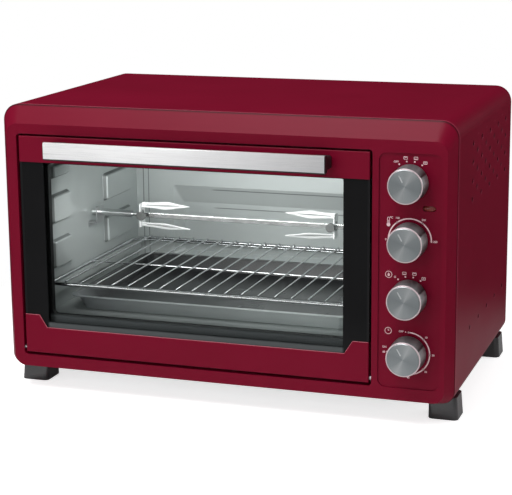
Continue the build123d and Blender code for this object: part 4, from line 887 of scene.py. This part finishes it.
# The cavity: bright aluminised sheet, with rack grooves and rows of blocks
# pressed out of the side walls, riveted and folded together.
def aluminised(name, marks=None):
    """Aluminised sheet, rolled and a little stained, with painted shade where marks(wire, place) is 1."""
    material, wire = new_material(name)
    place = coordinates(wire)
    normal, grain = brushed_normal(wire, place, (30.0, 30.0, 2500.0), (0.0, 0.0, 1.0), 0.25)
    stain = noise(wire, place, 12.0, 3.0)
    sheet = blended(wire, stain, (0.55, 0.59, 0.585, 1), (0.63, 0.67, 0.665, 1))
    if marks:
        sheet = blended(wire, marks(wire, place), sheet, (0.09, 0.10, 0.10, 1))
    surface(wire, {"Base Color": sheet, "Metallic": 0.25, "Roughness": 0.36 + stain * 0.1 + grain * 0.08,
                   "Normal": normal})
    return material


cavity_left, cavity_right = span("cavity_left_wall")[0][0], span("cavity_right_wall")[1][0]
flank_near, flank_far, flank_blur = 0.0014, 0.0052, 0.0004


def flank_shade_marks(wire, place):
    """Painted shade on the steep flanks of what is pressed into the side walls, between the sheet and the tops.
    """
    across = axis_of(wire, place, "X")
    return (band_mask(wire, across, cavity_left + flank_near, cavity_left + flank_far, flank_blur)
            + band_mask(wire, across, cavity_right - flank_far, cavity_right - flank_near, flank_blur)) * 0.75


back_front = span("cavity_back")[0][1]
back_points = np.array([v.co[:] for v in nodes["cavity_back"].data.vertices])
pressing_least = 0.002
pressing_top = back_points[back_points[:, 1] > back_front + pressing_least][:, 2].max()
crease_drop = 0.026
crease_ends = (-0.125, 0.160)
crease_blur = 0.0003


def crease_shade_marks(wire, place):
    """Painted shade in two fine creases across the back, along the pressing's top edge and a little below it,
    and in two more up its left corner, where it is folded to meet the wall."""
    across, upward = axis_of(wire, place, "X"), axis_of(wire, place, "Z")
    second = pressing_top - crease_drop
    upper = band_mask(wire, upward, pressing_top - 0.0002, pressing_top + 0.0012, crease_blur)
    lower = band_mask(wire, upward, second - 0.0006, second + 0.0006, crease_blur)
    corner = (band_mask(wire, across, cavity_left + 0.0104, cavity_left + 0.0118, crease_blur)
              + band_mask(wire, across, cavity_left + 0.0180, cavity_left + 0.0192, crease_blur))
    back_crease_shade = (upper + lower) * band_mask(wire, across, *crease_ends, 0.004)
    return wire.reckon("MAXIMUM", back_crease_shade, corner) * 0.7


def floor_shade_marks(wire, place):
    """Painted shade on the floor, strongest at the left and gone at the right."""
    return slope(wire, axis_of(wire, place, "X"), cavity_left, cavity_right, 0.34, 0.0)


coat(aluminised("aluminised sheet"), "cavity_ceiling", "cavity_front_frame", "lower_reflector", "heat_shield")
coat(aluminised("shaded aluminised floor", floor_shade_marks), "cavity_floor")
coat(aluminised("pressed aluminised sheet", flank_shade_marks), "cavity_left_wall", "cavity_right_wall")
coat(aluminised("creased aluminised sheet", crease_shade_marks), "cavity_back")


# The heaters: stainless sheathed rods under the ceiling and over the floor,
# each held at its ends in glazed ceramic sleeves.
sheath = hazed("heater sheath", (0.30, 0.29, 0.27, 1), (0.42, 0.42, 0.42, 1), 35.0, 0.9, 0.32, 0.15, 0.00003)
coat(sheath, "upper_heating_rods", "lower_heating_rods")

ceramic = hazed("glazed ceramic", (0.72, 0.70, 0.64, 1), (0.84, 0.82, 0.76, 1), 500.0, 0.0, 0.25, 0.2, 0.00004)
coat(ceramic, "heater_sleeves")


# The wire rack and the baking tray: chromed wires welded to a border wire,
# and a shallow pressed pan in black enamel.
chrome = hazed("rack chrome", (0.54, 0.55, 0.56, 1), (0.68, 0.69, 0.70, 1), 200.0, 1.0, 0.12, 0.12, 0.00002)
coat(chrome, "wire_rack")

tray_enamel, w = new_material("tray enamel")
place = coordinates(w)
flow = noise(w, place, 14.0)
tray_low, tray_high = span("baking_tray")
across = axis_of(w, place, "X")
inward = axis_of(w, place, "Y")
# A painted reflection: the pan's front strip is painted pale, grey at the left and nearly white at the right.
reflection_near, reflection_far = tray_low[1] + 0.012, tray_low[1] + 0.06
tray_reflection = slope(w, inward, reflection_near, reflection_far, 1.0, 0.0)
sideways = slope(w, across + flow * 0.08, tray_low[0], tray_high[0])
pale = blended(w, sideways, ink(98, 102, 106), ink(238, 244, 244))
dark = blended(w, flow, ink(26, 27, 29), ink(38, 39, 41))
surface(w, {"Base Color": blended(w, tray_reflection, dark, pale), "Roughness": 0.24 + flow * 0.1,
            "Coat Weight": 0.2, "Normal": bumped(w, flow, 0.00002)})
coat(tray_enamel, "baking_tray")


# The spit: a square plated rod that turns in a socket on its motor, and rests
# in a bracket on the other wall. A blackened thumbscrew holds each fork on it.
plated = hazed("plated steel", (0.76, 0.77, 0.77, 1), (0.88, 0.89, 0.89, 1), 150.0, 1.0, 0.16, 0.14, 0.00003)
coat(plated, "spit_rod", "drive_socket")

dark_steel = hazed("blackened steel", (0.10, 0.105, 0.105, 1), (0.22, 0.225, 0.22, 1), 90.0, 0.8, 0.3, 0.2,
                   0.00004, 3.0)
coat(dark_steel, "left_fork_screw", "right_fork_screw")
coat(turned_steel, "spit_bracket")

# The forks: a strip of steel with a hole for the rod, folded over at both
# ends into leaf-shaped prongs, each creased along its middle to stiffen it.
fork_steel, w = new_material("fork steel")
place = coordinates(w)
haze = noise(w, place, 150.0)
# Painted shade: the attribute read here darkens the prongs' creases and the ring beside the hole.
fold = w.add("ShaderNodeAttribute", {"attribute_name": "fold"}, None, "Fac")
bare = blended(w, haze, (0.80, 0.81, 0.81, 1), (0.92, 0.93, 0.93, 1))
surface(w, {"Base Color": blended(w, fold * 0.7, bare, (0.05, 0.06, 0.06, 1)), "Metallic": 0.2,
            "Roughness": 0.38 + haze * 0.14, "Normal": bumped(w, haze, 0.00001)})
fork_sheet = 0.0012
hub_hole = 0.0050
hub_shade_ring = 0.0011
hub_wider, hub_shorter = 0.002, 0.002
leaf_half = 0.0048
leaf_lean = math.radians(48)
leaf_groove = 0.0008
crease_width = 0.2
upper_rise, upper_fall = -0.0045, -0.0040
lower_rise, lower_fall = 0.0045, 0.0012
rod_low, rod_high = span("spit_rod")
spit_y, spit_z = (rod_low[1] + rod_high[1]) / 2, (rod_low[2] + rod_high[2]) / 2


def hub_strip(x, half_wide, half_tall, steps=64, rings=6):
    """The strip between the prongs, round its hole: at angle t, from the hole's edge out to the nearer of the
    two pairs of sides. Painted shade is 1 in the ring beside the hole."""
    t = np.linspace(0, 2 * np.pi, steps, endpoint=False)[:, None]
    edge = np.minimum(half_wide / np.maximum(np.abs(np.cos(t)), 1e-6),
                      half_tall / np.maximum(np.abs(np.sin(t)), 1e-6))
    u = np.linspace(0, 1, rings)[None, :] ** 2
    reach = hub_hole + (edge - hub_hole) * u
    points = np.stack([x + 0 * reach, spit_y + reach * np.cos(t), spit_z + reach * np.sin(t)], 2)
    k, j = np.meshgrid(np.arange(steps), np.arange(rings - 1), indexing="ij")
    after = (k + 1) % steps
    faces = np.stack([k * rings + j, k * rings + j + 1, after * rings + j + 1, after * rings + j], 2)
    marks = np.where(reach < hub_hole + hub_shade_ring, 1.0, 0.0)
    return points.reshape(-1, 3), faces.reshape(-1, 4).tolist(), marks.reshape(-1)


def leaf(root, tip, rise, fall, rows=40, across=13):
    """A prong: for u from root to tip and v across it, x runs from root to tip, the height from rise to fall,
    and the leaf leans back. Its half width swells round u = 0.5 as exp(-((u - 0.5) / 0.2)^2) and from there
    falls to a point as 1 - 0.96 s^1.6. A groove exp(-(v / 0.3)^2) runs along its middle and carries painted
    shade."""
    u = np.linspace(0, 1, rows)[:, None]
    v = np.linspace(-1, 1, across)[None, :]
    s = np.clip((u - 0.5) / 0.5, 0, 1)
    half = leaf_half * (1 - 0.96 * s ** 1.6) * (0.75 + 0.4 * np.exp(-((u - 0.5) / 0.2) ** 2))
    up = np.sign(rise)
    groove = leaf_groove * np.exp(-(v / 0.3) ** 2) * (1 - s)
    x = root + (tip - root) * u + 0 * v
    y = spit_y + v * half * math.cos(leaf_lean) + groove * math.sin(leaf_lean)
    z = spit_z + rise + (fall - rise) * u + up * (v * half * math.sin(leaf_lean) - groove * math.cos(leaf_lean))
    points = np.stack([x, y, z], 2)
    k, j = np.meshgrid(np.arange(rows - 1), np.arange(across - 1), indexing="ij")
    faces = np.stack([k * across + j, (k + 1) * across + j, (k + 1) * across + j + 1, k * across + j + 1], 2)
    marks = np.where((np.abs(v) < crease_width) & (u > 0.08) & (u < 0.8), 1.0, 0.0)
    return points.reshape(-1, 3), faces.reshape(-1, 4).tolist(), marks.reshape(-1)


for side, root_end, tip_end in (("left", 0, 1), ("right", 1, 0)):
    fork_box = span(side + "_fork")
    root, tip = fork_box[root_end][0], fork_box[tip_end][0]
    tall = (fork_box[1][2] - fork_box[0][2]) / 2
    wide = (fork_box[1][1] - fork_box[0][1]) / 2 + hub_wider
    inset = fork_sheet * (1 if side == "left" else -1)
    parts = [hub_strip(root + inset, wide, tall - hub_shorter),
             leaf(root + inset, tip, tall + upper_rise, tall + upper_fall),
             leaf(root + inset, tip, lower_rise - tall, lower_fall - tall)]
    points, faces = joined([part[:2] for part in parts])
    fork = mesh_piece(side + "_fork_leaves", points, faces, smooth=False)
    fork_shade_layer = fork.data.attributes.new("fold", "FLOAT", "POINT")
    fork_shade_layer.data.foreach_set("value", np.concatenate([part[2] for part in parts]).astype(np.float32))
    skin = fork.modifiers.new("sheet", "SOLIDIFY")
    skin.thickness = fork_sheet
    skin.offset = 0
    fork.data.materials.append(fork_steel)
    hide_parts(side + "_fork")
    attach(fork, "fork_" + side)
